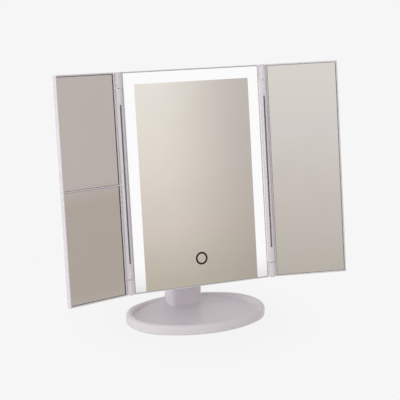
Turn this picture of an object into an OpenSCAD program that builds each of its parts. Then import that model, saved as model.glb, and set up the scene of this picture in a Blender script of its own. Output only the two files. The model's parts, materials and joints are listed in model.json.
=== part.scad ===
// Three-panel lighted vanity mirror on an oval tray base.
// Z is up, the mirror faces -Y and the origin is on the table under the middle of the base.

/* [Centre mirror] */
// Width of the centre glass
glass_w = 166; // [140:1:200]
// Height of the centre glass
glass_h = 245; // [200:1:294]
// Thickness of the centre glass
glass_t = 3; // [2.5:0.1:4]
// Width of the white edge beside the glass
bezel_side = 1; // [0.8:0.1:2]
// Width of the white edge above and below the glass
bezel_end = 1.3; // [0.8:0.1:2.5]
// How far the white edge stands in front of the glass
bezel_lip = 0.3; // [0.2:0.05:0.6]
// Lean of the centre mirror from upright, at rest
head_tilt = 10; // [0:0.5:20]

/* [Light band] */
// Width of the lit band at the left, right and top of the glass
band_w = 13; // [10:0.5:18]
// Thickness of the opal diffuser
diffuser_t = 2; // [1:0.1:2.4]
// Width of a lamp board
led_board_w = 5; // [4:0.1:5.5]
// Lamps along each side
led_count_side = 18; // [8:1:24]
// Lamps along the top
led_count_top = 11; // [5:1:15]

/* [Touch button] */
// Height of the touch ring's centre above the glass's lower edge
touch_up = 30.5; // [24:0.5:40]
// Diameter of the sensing pad behind the ring
touch_pad_d = 13; // [10:0.5:16]

/* [Head housing] */
// Depth of the front frame behind the glass's face
frame_depth = 9; // [8.6:0.1:11]
// Thickness of the front frame's wall behind the glass
frame_wall = 2.5; // [2:0.1:3]
// Depth of the rear housing behind the front frame
rear_depth = 7.5; // [6.5:0.1:10]
// Wall of the rear housing
rear_wall = 2; // [1.6:0.1:2.4]
// Thickness of the inner chassis plate
chassis_t = 1.5; // [1.2:0.1:2]

/* [Power pod] */
// Width of the raised block on the back
pod_w = 80; // [70:1:100]
// Height of the block's lower end above the glass's lower edge
pod_low = 7; // [4:0.5:9]
// Height of the block's upper end above the glass's lower edge
pod_top = 134; // [132:1:145]
// How far the block stands behind the rear housing
pod_depth = 8; // [7.5:0.1:12]
// Diameter of a battery cell
cell_d = 10.5; // [10:0.1:10.5]
// Length of a battery cell
cell_len = 44.5; // [44:0.1:45]
// Number of battery cells
cell_count = 4; // [2:1:4]
// Travel of the battery door before it lifts off
door_travel = 8; // [4:0.5:9]
// Travel of the power slider
switch_travel = 3; // [2:0.1:3.5]

/* [Wing hinges] */
// Diameter of the hinge barrels
barrel_d = 7.8; // [7:0.1:9]
// Gap between a wing's barrel and the front frame
barrel_gap = 1.1; // [0.8:0.1:1.6]
// How far the hinge axis lies in front of the glass's face
hinge_forward = 0.8; // [0.7:0.1:1.4]
// Length of a fixed knuckle
knuckle_len = 17.5; // [14:0.5:22]
// Gap between a knuckle and the wing's barrel
knuckle_gap = 0.5; // [0.3:0.1:0.8]
// Diameter of a hinge pin
pin_d = 2.5; // [2:0.1:3]
// Length of a hinge pin inside a wing's barrel
pin_reach = 8; // [6:0.5:10]
// Radial play of a pin in its turning bore
pin_play = 0.05; // [0.03:0.01:0.08]
// Length of the groove in a wing's barrel
groove_len = 176; // [120:1:180]
// Width of the groove
groove_w = 1.8; // [1.2:0.1:2.2]
// Depth of the groove
groove_deep = 2.4; // [1:0.1:2.6]
// Turn of the left groove from the wing's face
groove_turn_left = 24; // [-30:1:30]
// Turn of the right groove from the wing's face
groove_turn_right = 0; // [-30:1:30]

/* [Wings] */
// Fold of the left wing from flat, at rest
left_fold = 22.5; // [0:0.5:90]
// Fold of the right wing from flat, at rest
right_fold = 17; // [0:0.5:90]
// Thickness of a wing
wing_t = 5.5; // [5:0.1:7]
// Gap between a wing's frame and its hinge barrel's surface
wing_gap = 0.4; // [0.3:0.1:0.6]
// Gap between the two wings when they are closed
closing_gap = 0.8; // [0.4:0.1:1.6]
// Width of a wing's rim
wing_rim = 1.5; // [1.2:0.1:2.2]
// Thickness of a wing's mirror
wing_glass_t = 2; // [1.6:0.1:2.2]
// How far a wing's mirror lies behind its rim
wing_recess = 0.8; // [0.5:0.1:1]
// Gap round a wing's mirror
wing_glass_gap = 0.3; // [0.2:0.05:0.5]
// Width of the bar between the left wing's two mirrors
wing_bar = 1.2; // [0.8:0.1:2]
// Thickness of a wing's back cover
wing_back_t = 1.9; // [1.5:0.1:2.2]

/* [Tilt joint] */
// Distance of the tilt axis behind the middle of the base
tilt_axis_y = 30; // [26:0.5:34]
// Height of the tilt axis above the table
tilt_axis_z = 66; // [62:0.5:76]
// Distance of the tilt axis behind the glass's face
axis_back = 43.8; // [42:0.1:50]
// Height of the tilt axis above the glass's lower edge
axis_up = 27.6; // [24:0.1:34]
// Radius of the round end of the neck and the bracket
joint_r = 12; // [10:0.5:13]
// Width of the neck's tongue
tongue_w = 22; // [18:0.5:26]
// Gap each side of the tongue
tongue_gap = 0.5; // [0.4:0.1:0.7]
// Diameter of the tilt shaft
shaft_d = 6; // [5:0.1:7]
// Radial play of the tilt shaft in the tongue
shaft_play = 0.05; // [0.03:0.01:0.08]
// Thickness of the bracket's plate
bracket_t = 4; // [3:0.1:5]

/* [Base] */
// Length of the base
base_l = 168; // [140:1:202]
// Depth of the base
base_w = 112; // [110:1:140]
// Radius of the base's ends
base_end_r = 45; // [42:0.5:50]
// Height of the rim above the table
base_h = 12.3; // [12:0.1:16]
// Width of the rounded rim
rim_w = 8.5; // [6:0.1:9]
// Width of the curved slope inside the rim
cove_w = 5; // [4:0.1:9]
// Height of the tray's floor above the table
floor_z = 7; // [6.4:0.1:7.5]
// Distance of the back slope's foot in front of the neck
slope_lead = 2.5; // [1:0.5:6]
// Distance of the back slope's upper end below the top of the rim
slope_drop = 1.1; // [0.8:0.1:2]
// Thickness of the tray's floor
floor_t = 2; // [1.6:0.1:2.4]
// Wall of the base
base_wall = 2.2; // [1.8:0.1:2.4]
// Height of the base's edge above the table
edge_z = 0.8; // [0.5:0.1:1.2]
// Distance of the rubber pad inside the base's outline
pad_inset = 10; // [6:0.5:16]
// Thickness of the bottom cover
cover_t = 1.5; // [1.2:0.1:1.8]

/* [Neck] */
// Width of the neck
neck_w = 41; // [36:0.5:46]
// Depth of the neck
neck_d = 24; // [20:0.5:25]
// Distance of the neck's front face behind the middle of the base
neck_y = 27; // [24:0.5:27]
// Radius of the neck's upright edges
neck_r = 7; // [4:0.5:9]
// Height of the neck's shoulder above the table
neck_top = 48; // [40:0.5:50]
// Wall of the neck
neck_wall = 2.4; // [2:0.1:2.8]

/* [Hidden] */
$fn = 48;
over = 0.01;
white = "#f2eff1";
opal = "#ffffff";
silvered = "#cfc6bf";
steel = "#b9bcc0";
board_green = "#2f6b45";

// Head, seen from the front: x to the right, y back from the glass's face, z up from its lower edge
frame_w = glass_w + 2 * bezel_side;
frame_low = -bezel_end;
frame_top = glass_h + bezel_end;
glass_gap = 0.2;
reflect_w = glass_w - 2 * band_w;
inner_half = frame_w / 2 - frame_wall;
flange_y = glass_t + diffuser_t + 0.3;
flange_t = 1;
flange_w = 1.4;
frame_corner = 1;
boss_r = 2.2;
boss_x = inner_half - boss_r + 0.4;
chassis_y = frame_depth + 0.2;
chassis_half = inner_half - 0.3;
chassis_back = chassis_y + chassis_t;
chassis_margin = 2.5;
screw_z = [10, 85, glass_h - 85, glass_h - 10];
screw_bore_r = 0.9;
screw_head_r = 1.9;
screw_head_t = 1;

// Light
led_y = chassis_y - 1;
led_w = 2.8;
led_t = 0.7;
led_x = reflect_w / 2 + 1 + led_board_w / 2;
led_board_low = 14;
led_board_high = glass_h - band_w - 1;
led_margin = 4;
led_corner_gap = 2.2;
led_top_low = led_board_high + led_corner_gap;
rib_t = 1;
rib_x = reflect_w / 2 - 0.2;
rib_low = 4;
diffuser_gap = 0.1;
diffuser_inset = 0.4;
backing_t = 1.6;
backing_low = 1;
tape_t = 0.6;
tape_w = 12;
tape_low = 58;
tape_top_gap = 20;
touch_pad_t = 1;
touch_pad_gap = 0.5;

// Rear housing and its block
rear_back = frame_depth + rear_depth;
pod_back = rear_back + pod_depth;
pod_corner = 6;
rear_step = 1.2;
rear_step_t = 1.5;
housing_screw_x = 60;
housing_screw_z = [22, glass_h / 2 - 6, glass_h - 22];
housing_screw_r = 1.1;
housing_screw_head_r = 2.3;
housing_screw_head_t = 1.1;
housing_boss_r = 3;
housing_boss_t = 1.3;
bay_gap = 0.4;
bay_w = cell_count * (cell_d + bay_gap) + bay_gap;
bay_end = 2.6;
bay_wall = 1.6;
bay_room = 0.8;
bay_low = 62;
bay_high = bay_low + cell_len + 2 * bay_end;
bay_front = pod_back - rear_wall - cell_d - bay_gap;
bay_floor_t = 1.2;
cell_y = bay_front + cell_d / 2 + bay_gap / 2;
cell_tip_r = 1.9;
cell_tip = 1;
contact_w = 8;
contact_t = 0.4;
contact_tab_w = 4;
spring_base_r = 3.6;
spring_tip_r = 2.4;
door_lap = 2;
door_t = 1.6;
door_lip = 0.2;
door_play = 0.4;
door_tongue = 1;
ridge_count = 5;
ridge_step = 1.8;
ridge_w = 0.8;
ridge_len = 16;
ridge_t = 0.5;
switch_z = bay_high + door_lap + door_travel + 6;
slider_w = 6;
slider_h = 3.4;
slider_room = 0.3;
slider_proud = 0.2;
slider_ridge_step = 1.6;
switch_w = 10;
switch_h = 4;
switch_t = 3.6;
usb_w = 8;
usb_t = 2.8;
usb_len = 6;
usb_sheet = 0.4;
usb_z = 88;
usb_y = rear_back + 1.4;
board_y = chassis_back + 1.6;
board_t = 1.2;
board_half = 36.5;
board_screw_x = 33;
board_screw_r = 0.8;
board_post_r = 2;
board_screw_head_r = 1.5;
board_screw_head_t = 0.9;
board_low = 14;
board_high = 50;
chip_at = [-16, 34];
chip_size = [8, 8, 1.5];
regulator_at = [10, 20];
regulator_size = [5, 6, 1.4];
coil_at = [18, 32];
coil_size = [6, 6, 2.2];
capacitor_at = [[-22, 24], [-14, 22]];
capacitor_r = 2.5;
capacitor_t = 2.2;
board_screw_z = [board_low + 4, board_high - 4];
spring_r = 3;
spring_wire = 0.6;
lead_r = 0.7;
lead_z = 30;
lead_x = 8;

// Wing hinges: x outward from the axis, y back from it
hinge_x = frame_w / 2 + barrel_gap + barrel_d / 2;
barrel_r = barrel_d / 2;
knuckle_low = frame_low + knuckle_len;
knuckle_high = frame_top - knuckle_len;
barrel_low = knuckle_low + knuckle_gap;
barrel_high = knuckle_high - knuckle_gap;
knuckle_round = 2.2;
knuckle_taper = 1.2;
knuckle_web_low = 0.6;
pin_end_wall = 3.5;
pin_seat = knuckle_len - pin_end_wall;

// Wings
wing_front = hinge_forward - bezel_lip;
wing_back = wing_front + wing_t;
wing_in = barrel_r + wing_gap;
wing_out = hinge_x - closing_gap / 2;
wing_mirror_y = wing_front + wing_recess;
cover_y = wing_back - wing_back_t;
web_y = wing_front + 0.9;
wing_back_step = 0.5;
wing_back_step_t = 0.6;
wing_tape_w = 8;
wing_tape_end = 8;
wing_glass_in = wing_in + wing_rim + wing_glass_gap;
wing_glass_out = wing_out - wing_rim - wing_glass_gap;
wing_glass_low = frame_low + wing_rim + wing_glass_gap;
wing_glass_high = frame_top - wing_rim - wing_glass_gap;
wing_mid = (frame_low + frame_top) / 2;
wing_corner = 0.8;

// Tilt joint
ear_in = tongue_w / 2 + tongue_gap;
ear_out = neck_w / 2;
bracket_low = axis_up - 17;
bracket_top = axis_up + 22;
head_well_d = 12.4;
head_well = 5;
cap_t = 1.2;
shaft_head_r = 5.4;
washer_r = 8;
nut_r = 5.8;
washer_play = 0.05;
bracket_screw_x = 6;
bracket_screw_z = [bracket_low + 3, bracket_top - 4];
bracket_screw_r = 1.6;
bracket_screw_head_r = 2.8;
bracket_screw_head_t = 1.6;
bracket_screw_len = 10;
bracket_boss_r = 3.4;
bracket_boss_y = pod_back + bracket_t - bracket_screw_len - 0.8;

// Base: an oval of four arcs
base_a = base_l / 2;
base_b = base_w / 2;
side_r = (pow(base_a, 2) - 2 * base_a * base_end_r + pow(base_b, 2)) / (2 * (base_b - base_end_r));
end_x = base_a - base_end_r;
side_y = side_r - base_b;
end_turn = atan2(side_y, end_x);
base_edge_r = 2;
rim_r = rim_w / 2;
rim_z = base_h - rim_r;
cove_drop = rim_z - floor_z;
cove_bite = 0.1;
cove_r = (pow(cove_w + cove_bite, 2) + pow(cove_drop, 2)) / (2 * cove_drop);
ring_w = rim_w + cove_w + 2;
rim_hollow = min(rim_z, floor_z - 0.6);
slope_foot = neck_y - slope_lead;
slope_end = base_b - rim_r;
slope_high = base_h - slope_drop;
slope_root = 0.4;
floor_under = floor_z - floor_t;
cover_inset = base_wall + 0.3;
weight_inset = 20;
cover_z = edge_z + 0.3;
weight_gap = 0.1;
neck_mid_y = neck_y + neck_d / 2;
base_screw_x = 36;
base_screw_y = 38;
base_screw_r = 1.1;
base_screw_head_r = 2.6;
base_screw_head_t = 0.8;
base_post_r = 3;
neck_screw_x = 12;
neck_screw_r = 1.3;
neck_screw_head_r = 3;
neck_screw_head_t = 1.6;
neck_floor_t = 3;
neck_plug_w = neck_w - 2 * neck_r - 2;
neck_plug_low = floor_z + neck_floor_t + 4;
neck_plug_high = neck_top - neck_wall - 3;
snap_gap = 0.1;
screw_room = 0.4;

// ---------- places ----------
module in_head() {
  translate([0, tilt_axis_y, tilt_axis_z]) rotate([-head_tilt, 0, 0])
    translate([0, -axis_back, -axis_up]) children();
}

module in_wing(side, fold) {
  in_head() translate([side * hinge_x, -hinge_forward, 0])
    mirror([side < 0 ? 1 : 0, 0, 0]) rotate([0, 0, -fold]) children();
}

// ---------- shapes ----------
// A block between two corners
module block(low, high) {
  translate(low) cube(high - low);
}

// A rod along y from y0 to y1
module rod_y(x, z, y0, y1, r) {
  translate([x, y0, z]) rotate([-90, 0, 0]) cylinder(h = y1 - y0, r = r);
}

// A rod along x from x0 to x1
module rod_x(y, z, x0, x1, r) {
  translate([x0, y, z]) rotate([0, 90, 0]) cylinder(h = x1 - x0, r = r);
}

// A rectangle with round corners, drawn in x and y
module rounded(low, high, r) {
  translate([low[0] + r, low[1]]) square([high[0] - low[0] - 2 * r, high[1] - low[1]]);
  translate([low[0], low[1] + r]) square([high[0] - low[0], high[1] - low[1] - 2 * r]);
  for (x = [low[0] + r, high[0] - r], y = [low[1] + r, high[1] - r]) translate([x, y]) circle(r = r);
}

// A slab seen from the front: round-cornered in x and z, from y0 back to y1
module slab(low, high, y0, y1, r) {
  translate([0, y1, 0]) rotate([90, 0, 0]) linear_extrude(y1 - y0) rounded(low, high, r);
}

// A point on the base's outline, moved in by an inset, at an angle about its own arc's centre
function arc_points(cx, cy, r, from, to, steps) =
  [for (i = [0 : steps]) let (t = from + (to - from) * i / steps) [cx + r * cos(t), cy + r * sin(t)]];

function oval_points(inset, steps) = concat(
  arc_points(end_x, 0, base_end_r - inset, -end_turn, end_turn, steps),
  arc_points(0, -side_y, side_r - inset, end_turn, 180 - end_turn, steps),
  arc_points(-end_x, 0, base_end_r - inset, 180 - end_turn, 180 + end_turn, steps),
  arc_points(0, side_y, side_r - inset, 180 + end_turn, 360 - end_turn, steps));

module oval_plate(inset, z0, z1) {
  translate([0, 0, z0]) linear_extrude(z1 - z0) polygon(oval_points(inset, 16));
}

// Sweeps children, drawn with x inward from the outline and y up, round the oval.
// An end arc and a side arc are cut along the same plane, so their ends match whatever the base's size.
module oval_sweep() {
  for (side = [-1, 1]) {
    difference() {
      arc_ring([side * end_x, 0], base_end_r) children();
      side_wedge(1);
      side_wedge(-1);
    }
    intersection() {
      arc_ring([0, -side * side_y], side_r) children();
      side_wedge(side);
    }
  }
}

module arc_ring(centre, r) {
  fine_move(centre) rotate_extrude($fn = 144) fine_move([r, 0]) mirror([1, 0]) children();
}

// A move in two steps, so that a long distance keeps its last digits
module fine_move(v) {
  whole = [for (c = v) round(c)];
  translate(whole) translate(v - whole) children();
}

// What lies between the two seams of a side arc
module side_wedge(side) {
  reach = 2 * side_r;
  far = [reach * cos(end_turn), reach * sin(end_turn) - side_y];
  linear_extrude(2 * base_h) polygon([[0, -side * side_y], [far[0], side * far[1]], [-far[0], side * far[1]]]);
}

// A countersunk or pan screw along y: head at y1, point at y0
module screw_y(x, z, y0, y1, r, head_r, head_t) {
  rod_y(x, z, y0, y1 - head_t, r);
  rod_y(x, z, y1 - head_t, y1, head_r);
}

// ---------- base ----------
module tray_profile() {
  difference() {
    union() {
      translate([0, edge_z]) square([rim_w, rim_z - edge_z]);
      translate([rim_r, rim_z]) circle(r = rim_r);
      difference() {
        translate([rim_w - 0.5, edge_z]) square([ring_w - rim_w + 0.5, rim_z - edge_z]);
        translate([rim_w + cove_w, floor_z + cove_r]) circle(r = cove_r, $fn = 96);
        translate([rim_w + cove_w, floor_z]) square([ring_w, base_h]);
      }
    }
    difference() {
      translate([-over, edge_z - over]) square([base_edge_r + over, base_edge_r + over]);
      translate([base_edge_r, edge_z + base_edge_r]) circle(r = base_edge_r);
    }
    translate([base_wall, 0]) square([ring_w, floor_under]);
    translate([base_wall, 0]) square([rim_w - 2 * base_wall + 0.6, rim_hollow]);
  }
}

// Behind the neck's front the floor rises in one plane to the rim
module back_slope() {
  climb = (slope_high - floor_z) / (slope_end - slope_foot);
  intersection() {
    oval_plate(rim_r, floor_z - 2 * slope_root, base_h);
    translate([-base_a, 0, 0]) rotate([90, 0, 90]) linear_extrude(base_l)
      polygon([[slope_foot, floor_z - slope_root], [slope_foot, floor_z], [base_b, floor_z + climb * (base_b - slope_foot)],
               [base_b, floor_z - slope_root]]);
  }
}

module base_tray() {
  color(white) difference() {
    union() {
      oval_sweep() tray_profile();
      oval_plate(rim_w + cove_w + 1, floor_under, floor_z);
      back_slope();
      at_base_screws() translate([0, 0, cover_z + cover_t])
        cylinder(h = floor_under - cover_z - cover_t + over, r = base_post_r);
    }
    at_base_screws() cylinder(h = floor_z - 1, r = base_screw_r);
    at_neck_screws() cylinder(h = base_h, r = neck_screw_r + screw_room);
    translate([0, 0, floor_z]) linear_extrude(base_h) neck_section();
  }
}

module at_base_screws() {
  for (sx = [-1, 1], sy = [-1, 1]) translate([sx * base_screw_x, sy * base_screw_y, 0]) children();
}

module at_neck_screws() {
  for (sx = [-1, 1]) translate([sx * neck_screw_x, neck_mid_y, 0]) children();
}

module neck_section() {
  rounded([-neck_w / 2, neck_y], [neck_w / 2, neck_y + neck_d], neck_r);
}

module base_weight() {
  color(steel) difference() {
    oval_plate(weight_inset, cover_z + cover_t + weight_gap, floor_under - weight_gap);
    at_neck_screws() cylinder(h = base_h, r = neck_screw_head_r + 1);
    at_base_screws() cylinder(h = base_h, r = base_post_r + screw_room);
  }
}

module base_cover() {
  color(white) difference() {
    oval_plate(cover_inset, cover_z, cover_z + cover_t);
    at_base_screws() cylinder(h = base_h, r = base_screw_r + screw_room);
    at_base_screws() cylinder(h = cover_z + base_screw_head_t, r = base_screw_head_r + screw_room);
    at_neck_screws() cylinder(h = base_h, r = neck_screw_head_r + 1);
  }
}

module base_pad() {
  color("#4a4a4c") oval_plate(pad_inset, 0, cover_z);
}

module base_screws() {
  color(steel) at_base_screws() {
    translate([0, 0, cover_z]) cylinder(h = base_screw_head_t, r = base_screw_head_r);
    translate([0, 0, cover_z]) cylinder(h = floor_z - 1.5 - cover_z, r = base_screw_r);
  }
}

// ---------- neck ----------
module neck_side_profile() {
  translate([tilt_axis_y, tilt_axis_z]) circle(r = joint_r);
  polygon([[neck_y, neck_top - 6], [tilt_axis_y - joint_r, tilt_axis_z - joint_r],
           [tilt_axis_y - joint_r, tilt_axis_z], [tilt_axis_y + joint_r, tilt_axis_z],
           [neck_y + neck_d, neck_top], [neck_y + neck_d, neck_top - 6]]);
}

module neck_shell() {
  color(white) difference() {
    union() {
      translate([0, 0, floor_z]) linear_extrude(neck_top - floor_z) neck_section();
      translate([-tongue_w / 2, 0, 0]) rotate([90, 0, 90]) linear_extrude(tongue_w) neck_side_profile();
    }
    translate([0, 0, floor_z + neck_floor_t]) linear_extrude(neck_top - floor_z - neck_floor_t - neck_wall)
      rounded([-neck_w / 2 + neck_wall, neck_y + neck_wall],
              [neck_w / 2 - neck_wall, neck_y + neck_d - neck_wall], neck_r - neck_wall);
    block([-neck_plug_w / 2 - snap_gap, neck_y + neck_d - 2 * neck_wall, neck_plug_low - snap_gap],
          [neck_plug_w / 2 + snap_gap, neck_y + neck_d + 1, neck_plug_high + snap_gap]);
    at_neck_screws() cylinder(h = floor_z + neck_floor_t + 1, r = neck_screw_r);
    rod_x(tilt_axis_y, tilt_axis_z, -tongue_w, tongue_w, shaft_d / 2 + shaft_play);
  }
}

// Snap-in cover of the hollow in the neck's back
module neck_plug() {
  color(white) block([-neck_plug_w / 2, neck_y + neck_d - neck_wall, neck_plug_low],
                     [neck_plug_w / 2, neck_y + neck_d, neck_plug_high]);
}

module neck_screws() {
  color(steel) at_neck_screws() {
    translate([0, 0, floor_under - neck_screw_head_t]) cylinder(h = neck_screw_head_t, r = neck_screw_head_r);
    translate([0, 0, floor_under - over]) cylinder(h = floor_t + neck_floor_t - 0.2, r = neck_screw_r);
  }
}

// ---------- tilt joint ----------
module tilt_bracket() {
  color(white) in_head() difference() {
    union() {
      slab([-ear_out, bracket_low], [ear_out, bracket_top], pod_back, pod_back + bracket_t, 3);
      for (x = [-ear_out, ear_in]) translate([x, 0, 0]) rotate([90, 0, 90]) linear_extrude(ear_out - ear_in) {
        translate([axis_back, axis_up]) circle(r = joint_r);
        translate([pod_back + over, axis_up - joint_r]) square([axis_back - pod_back, 2 * joint_r]);
      }
    }
    rod_x(axis_back, axis_up, -neck_w, neck_w, shaft_d / 2);
    rod_x(axis_back, axis_up, ear_out - head_well, neck_w, head_well_d / 2);
    rod_x(axis_back, axis_up, -neck_w, -ear_out + head_well, head_well_d / 2);
    for (side = [-1, 1], z = bracket_screw_z) rod_y(side * bracket_screw_x, z, 0, axis_back, bracket_screw_r);
  }
}

module bracket_screws() {
  top = pod_back + bracket_t + bracket_screw_head_t;
  color(steel) in_head() for (side = [-1, 1], z = bracket_screw_z)
    screw_y(side * bracket_screw_x, z, top - bracket_screw_head_t - bracket_screw_len, top,
            bracket_screw_r, bracket_screw_head_r, bracket_screw_head_t);
}

module tilt_shaft() {
  color(steel) in_head() {
    rod_x(axis_back, axis_up, -ear_out + cap_t + 0.6, ear_out - head_well + over, shaft_d / 2);
    rod_x(axis_back, axis_up, ear_out - head_well, ear_out - cap_t - 0.3, shaft_head_r);
  }
}

module friction_washers() {
  color(steel) in_head() for (x = [-ear_in + washer_play, tongue_w / 2 + washer_play]) difference() {
    rod_x(axis_back, axis_up, x, x + tongue_gap - 2 * washer_play, washer_r);
    rod_x(axis_back, axis_up, x - 1, x + 1, shaft_d / 2 + shaft_play);
  }
}

module tilt_nut() {
  color(steel) in_head() difference() {
    translate([-ear_out + cap_t + 0.4, axis_back, axis_up]) rotate([0, 90, 0])
      cylinder(h = head_well - cap_t - 0.4, r = nut_r, $fn = 6);
    rod_x(axis_back, axis_up, -neck_w, 0, shaft_d / 2);
  }
}

module tilt_caps() {
  color(white) in_head() for (x = [-ear_out, ear_out - cap_t])
    rod_x(axis_back, axis_up, x, x + cap_t, head_well_d / 2);
}

// ---------- head ----------
module front_frame() {
  color(white) in_head() {
    difference() {
      slab([-frame_w / 2, frame_low], [frame_w / 2, frame_top], -bezel_lip, frame_depth, frame_corner);
      block([-glass_w / 2 - glass_gap, -1, -glass_gap],
            [glass_w / 2 + glass_gap, flange_y, glass_h + glass_gap]);
      block([-inner_half + flange_w, -1, frame_wall + flange_w],
            [inner_half - flange_w, frame_depth + 1, glass_h - frame_wall - flange_w]);
      block([-inner_half, flange_y + flange_t, frame_wall],
            [inner_half, frame_depth + 1, glass_h - frame_wall]);
    }
    for (side = [-1, 1], z = screw_z) difference() {
      rod_y(side * boss_x, z, flange_y + flange_t - over, chassis_y, boss_r);
      rod_y(side * boss_x, z, flange_y + flange_t, frame_depth + 1, screw_bore_r);
    }
    for (side = [-1, 1]) mirror([side < 0 ? 1 : 0, 0, 0]) {
      knuckle(frame_low, 1);
      knuckle(frame_top, -1);
    }
  }
}

// A fixed knuckle that starts at an end of the frame and runs along dir
module knuckle(end, dir) {
  translate([hinge_x, -hinge_forward, end]) mirror([0, 0, dir > 0 ? 0 : 1]) difference() {
    union() {
      cylinder(h = knuckle_round, r1 = barrel_r - knuckle_taper, r2 = barrel_r);
      translate([0, 0, knuckle_round]) cylinder(h = knuckle_len - knuckle_round, r = barrel_r);
      block([-barrel_gap - barrel_r - over, hinge_forward - bezel_lip, knuckle_web_low],
            [0, barrel_r, knuckle_len]);
    }
    translate([0, 0, knuckle_len - pin_seat]) cylinder(h = pin_seat + 1, r = pin_d / 2);
  }
}

module hinge_pins(side) {
  color(steel) in_head() translate([side * hinge_x, -hinge_forward, 0]) {
    translate([0, 0, knuckle_low - pin_seat]) cylinder(h = pin_seat + knuckle_gap + pin_reach, r = pin_d / 2);
    translate([0, 0, barrel_high - pin_reach]) cylinder(h = pin_seat + knuckle_gap + pin_reach, r = pin_d / 2);
  }
}

module centre_glass() {
  color(silvered) in_head() block([-glass_w / 2, 0, 0], [glass_w / 2, glass_t, glass_h]);
}

module light_diffuser() {
  color(opal) in_head() {
    for (side = [-1, 1]) mirror([side < 0 ? 1 : 0, 0, 0])
      block([reflect_w / 2 + diffuser_inset, glass_t + diffuser_gap, diffuser_inset],
            [glass_w / 2 - glass_gap, glass_t + diffuser_gap + diffuser_t, glass_h - glass_gap]);
    block([-reflect_w / 2 - diffuser_inset - over, glass_t + diffuser_gap, glass_h - band_w + diffuser_inset],
          [reflect_w / 2 + diffuser_inset + over, glass_t + diffuser_gap + diffuser_t, glass_h - glass_gap]);
  }
}

module mirror_backing() {
  color(white) in_head() difference() {
    block([-rib_x, glass_t + tape_t, backing_low],
          [rib_x, glass_t + tape_t + backing_t, glass_h - band_w + diffuser_gap]);
    rod_y(0, touch_up, 0, frame_depth, touch_pad_d / 2 + touch_pad_gap);
  }
}

module glass_tapes() {
  color("#d8d4d0") in_head() for (x = [-1, 0, 1] * (rib_x - tape_w))
    block([x - tape_w / 2, glass_t, tape_low], [x + tape_w / 2, glass_t + tape_t, glass_h - band_w - tape_top_gap]);
}

module chassis_plate() {
  color("#e8e6e4") in_head() difference() {
    union() {
      block([-chassis_half, chassis_y, chassis_margin], [chassis_half, chassis_back, glass_h - chassis_margin]);
      for (side = [-1, 1]) mirror([side < 0 ? 1 : 0, 0, 0])
        block([rib_x - rib_t, glass_t + tape_t + backing_t, rib_low], [rib_x, chassis_y + over, glass_h - band_w]);
      block([-rib_x, glass_t + tape_t + backing_t, glass_h - band_w - rib_t],
            [rib_x, chassis_y + over, glass_h - band_w]);
      for (x = [-1, 1], z = housing_screw_z)
        rod_y(x * housing_screw_x, z, chassis_back - over, chassis_back + housing_boss_t, housing_boss_r);
      for (side = [-1, 1], z = board_screw_z)
        rod_y(side * board_screw_x, z, chassis_back - over, board_y, board_post_r);
    }
    for (side = [-1, 1], z = screw_z) rod_y(side * boss_x, z, 0, rear_back, screw_bore_r + 0.2);
    for (side = [-1, 1], z = housing_screw_z) rod_y(side * housing_screw_x, z, 0, rear_back, housing_screw_r);
    for (side = [-1, 1], z = board_screw_z) rod_y(side * board_screw_x, z, 0, rear_back, board_screw_r);
    rod_y(0, touch_up, 0, rear_back, spring_r + 1);
    block([-bay_w / 2 - bay_wall - bay_room, 0, bay_low - bay_wall - bay_room],
          [bay_w / 2 + bay_wall + bay_room, rear_back, bay_high + bay_wall + bay_room]);
  }
}

module chassis_screws() {
  color(steel) in_head() for (side = [-1, 1], z = screw_z)
    screw_y(side * boss_x, z, flange_y + flange_t + 0.5, chassis_back + screw_head_t,
            screw_bore_r, screw_head_r, screw_head_t);
}

module led_board_side(side) {
  color(board_green) in_head() mirror([side < 0 ? 1 : 0, 0, 0])
    block([led_x - led_board_w / 2, led_y, led_board_low], [led_x + led_board_w / 2, chassis_y, led_board_high]);
}

module led_board_top() {
  color(board_green) in_head()
    block([-reflect_w / 2 + led_margin, led_y, led_top_low],
          [reflect_w / 2 - led_margin, chassis_y, led_top_low + led_board_w]);
}

// Lamps evenly along both sides and the top
module led_lamps() {
  side_step = (led_board_high - led_board_low - 2 * led_margin) / (led_count_side - 1);
  top_step = (reflect_w - 4 * led_margin) / (led_count_top - 1);
  top_z = led_top_low + led_board_w / 2;
  color("#fff3c8") in_head() {
    for (side = [-1, 1], i = [0 : led_count_side - 1]) {
      z = led_board_low + led_margin + i * side_step;
      block([side * led_x - led_w / 2, led_y - led_t, z - led_w / 2],
            [side * led_x + led_w / 2, led_y, z + led_w / 2]);
    }
    for (i = [0 : led_count_top - 1]) {
      x = -reflect_w / 2 + 2 * led_margin + i * top_step;
      block([x - led_w / 2, led_y - led_t, top_z - led_w / 2], [x + led_w / 2, led_y, top_z + led_w / 2]);
    }
  }
}

module touch_pad() {
  color("#3a3a3c") in_head() rod_y(0, touch_up, glass_t, glass_t + touch_pad_t, touch_pad_d / 2);
}

module touch_spring() {
  color(steel) in_head() difference() {
    rod_y(0, touch_up, glass_t + touch_pad_t, board_y, spring_r);
    rod_y(0, touch_up, glass_t + touch_pad_t + spring_wire, board_y - spring_wire, spring_r - spring_wire);
  }
}

module control_board() {
  color(board_green) in_head() difference() {
    block([-board_half, board_y, board_low], [board_half, board_y + board_t, board_high]);
    for (side = [-1, 1], z = board_screw_z) rod_y(side * board_screw_x, z, 0, rear_back, board_screw_r);
  }
}

module board_parts() {
  top = board_y + board_t;
  color("#2b2b2e") in_head() {
    board_block(chip_at, chip_size, top);
    board_block(regulator_at, regulator_size, top);
    board_block(coil_at, coil_size, top);
    for (at = capacitor_at) rod_y(at[0], at[1], top, top + capacitor_t, capacitor_r);
  }
}

module board_block(at, size, top) {
  block([at[0], top, at[1]], [at[0] + size[0], top + size[2], at[1] + size[1]]);
}

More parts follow.
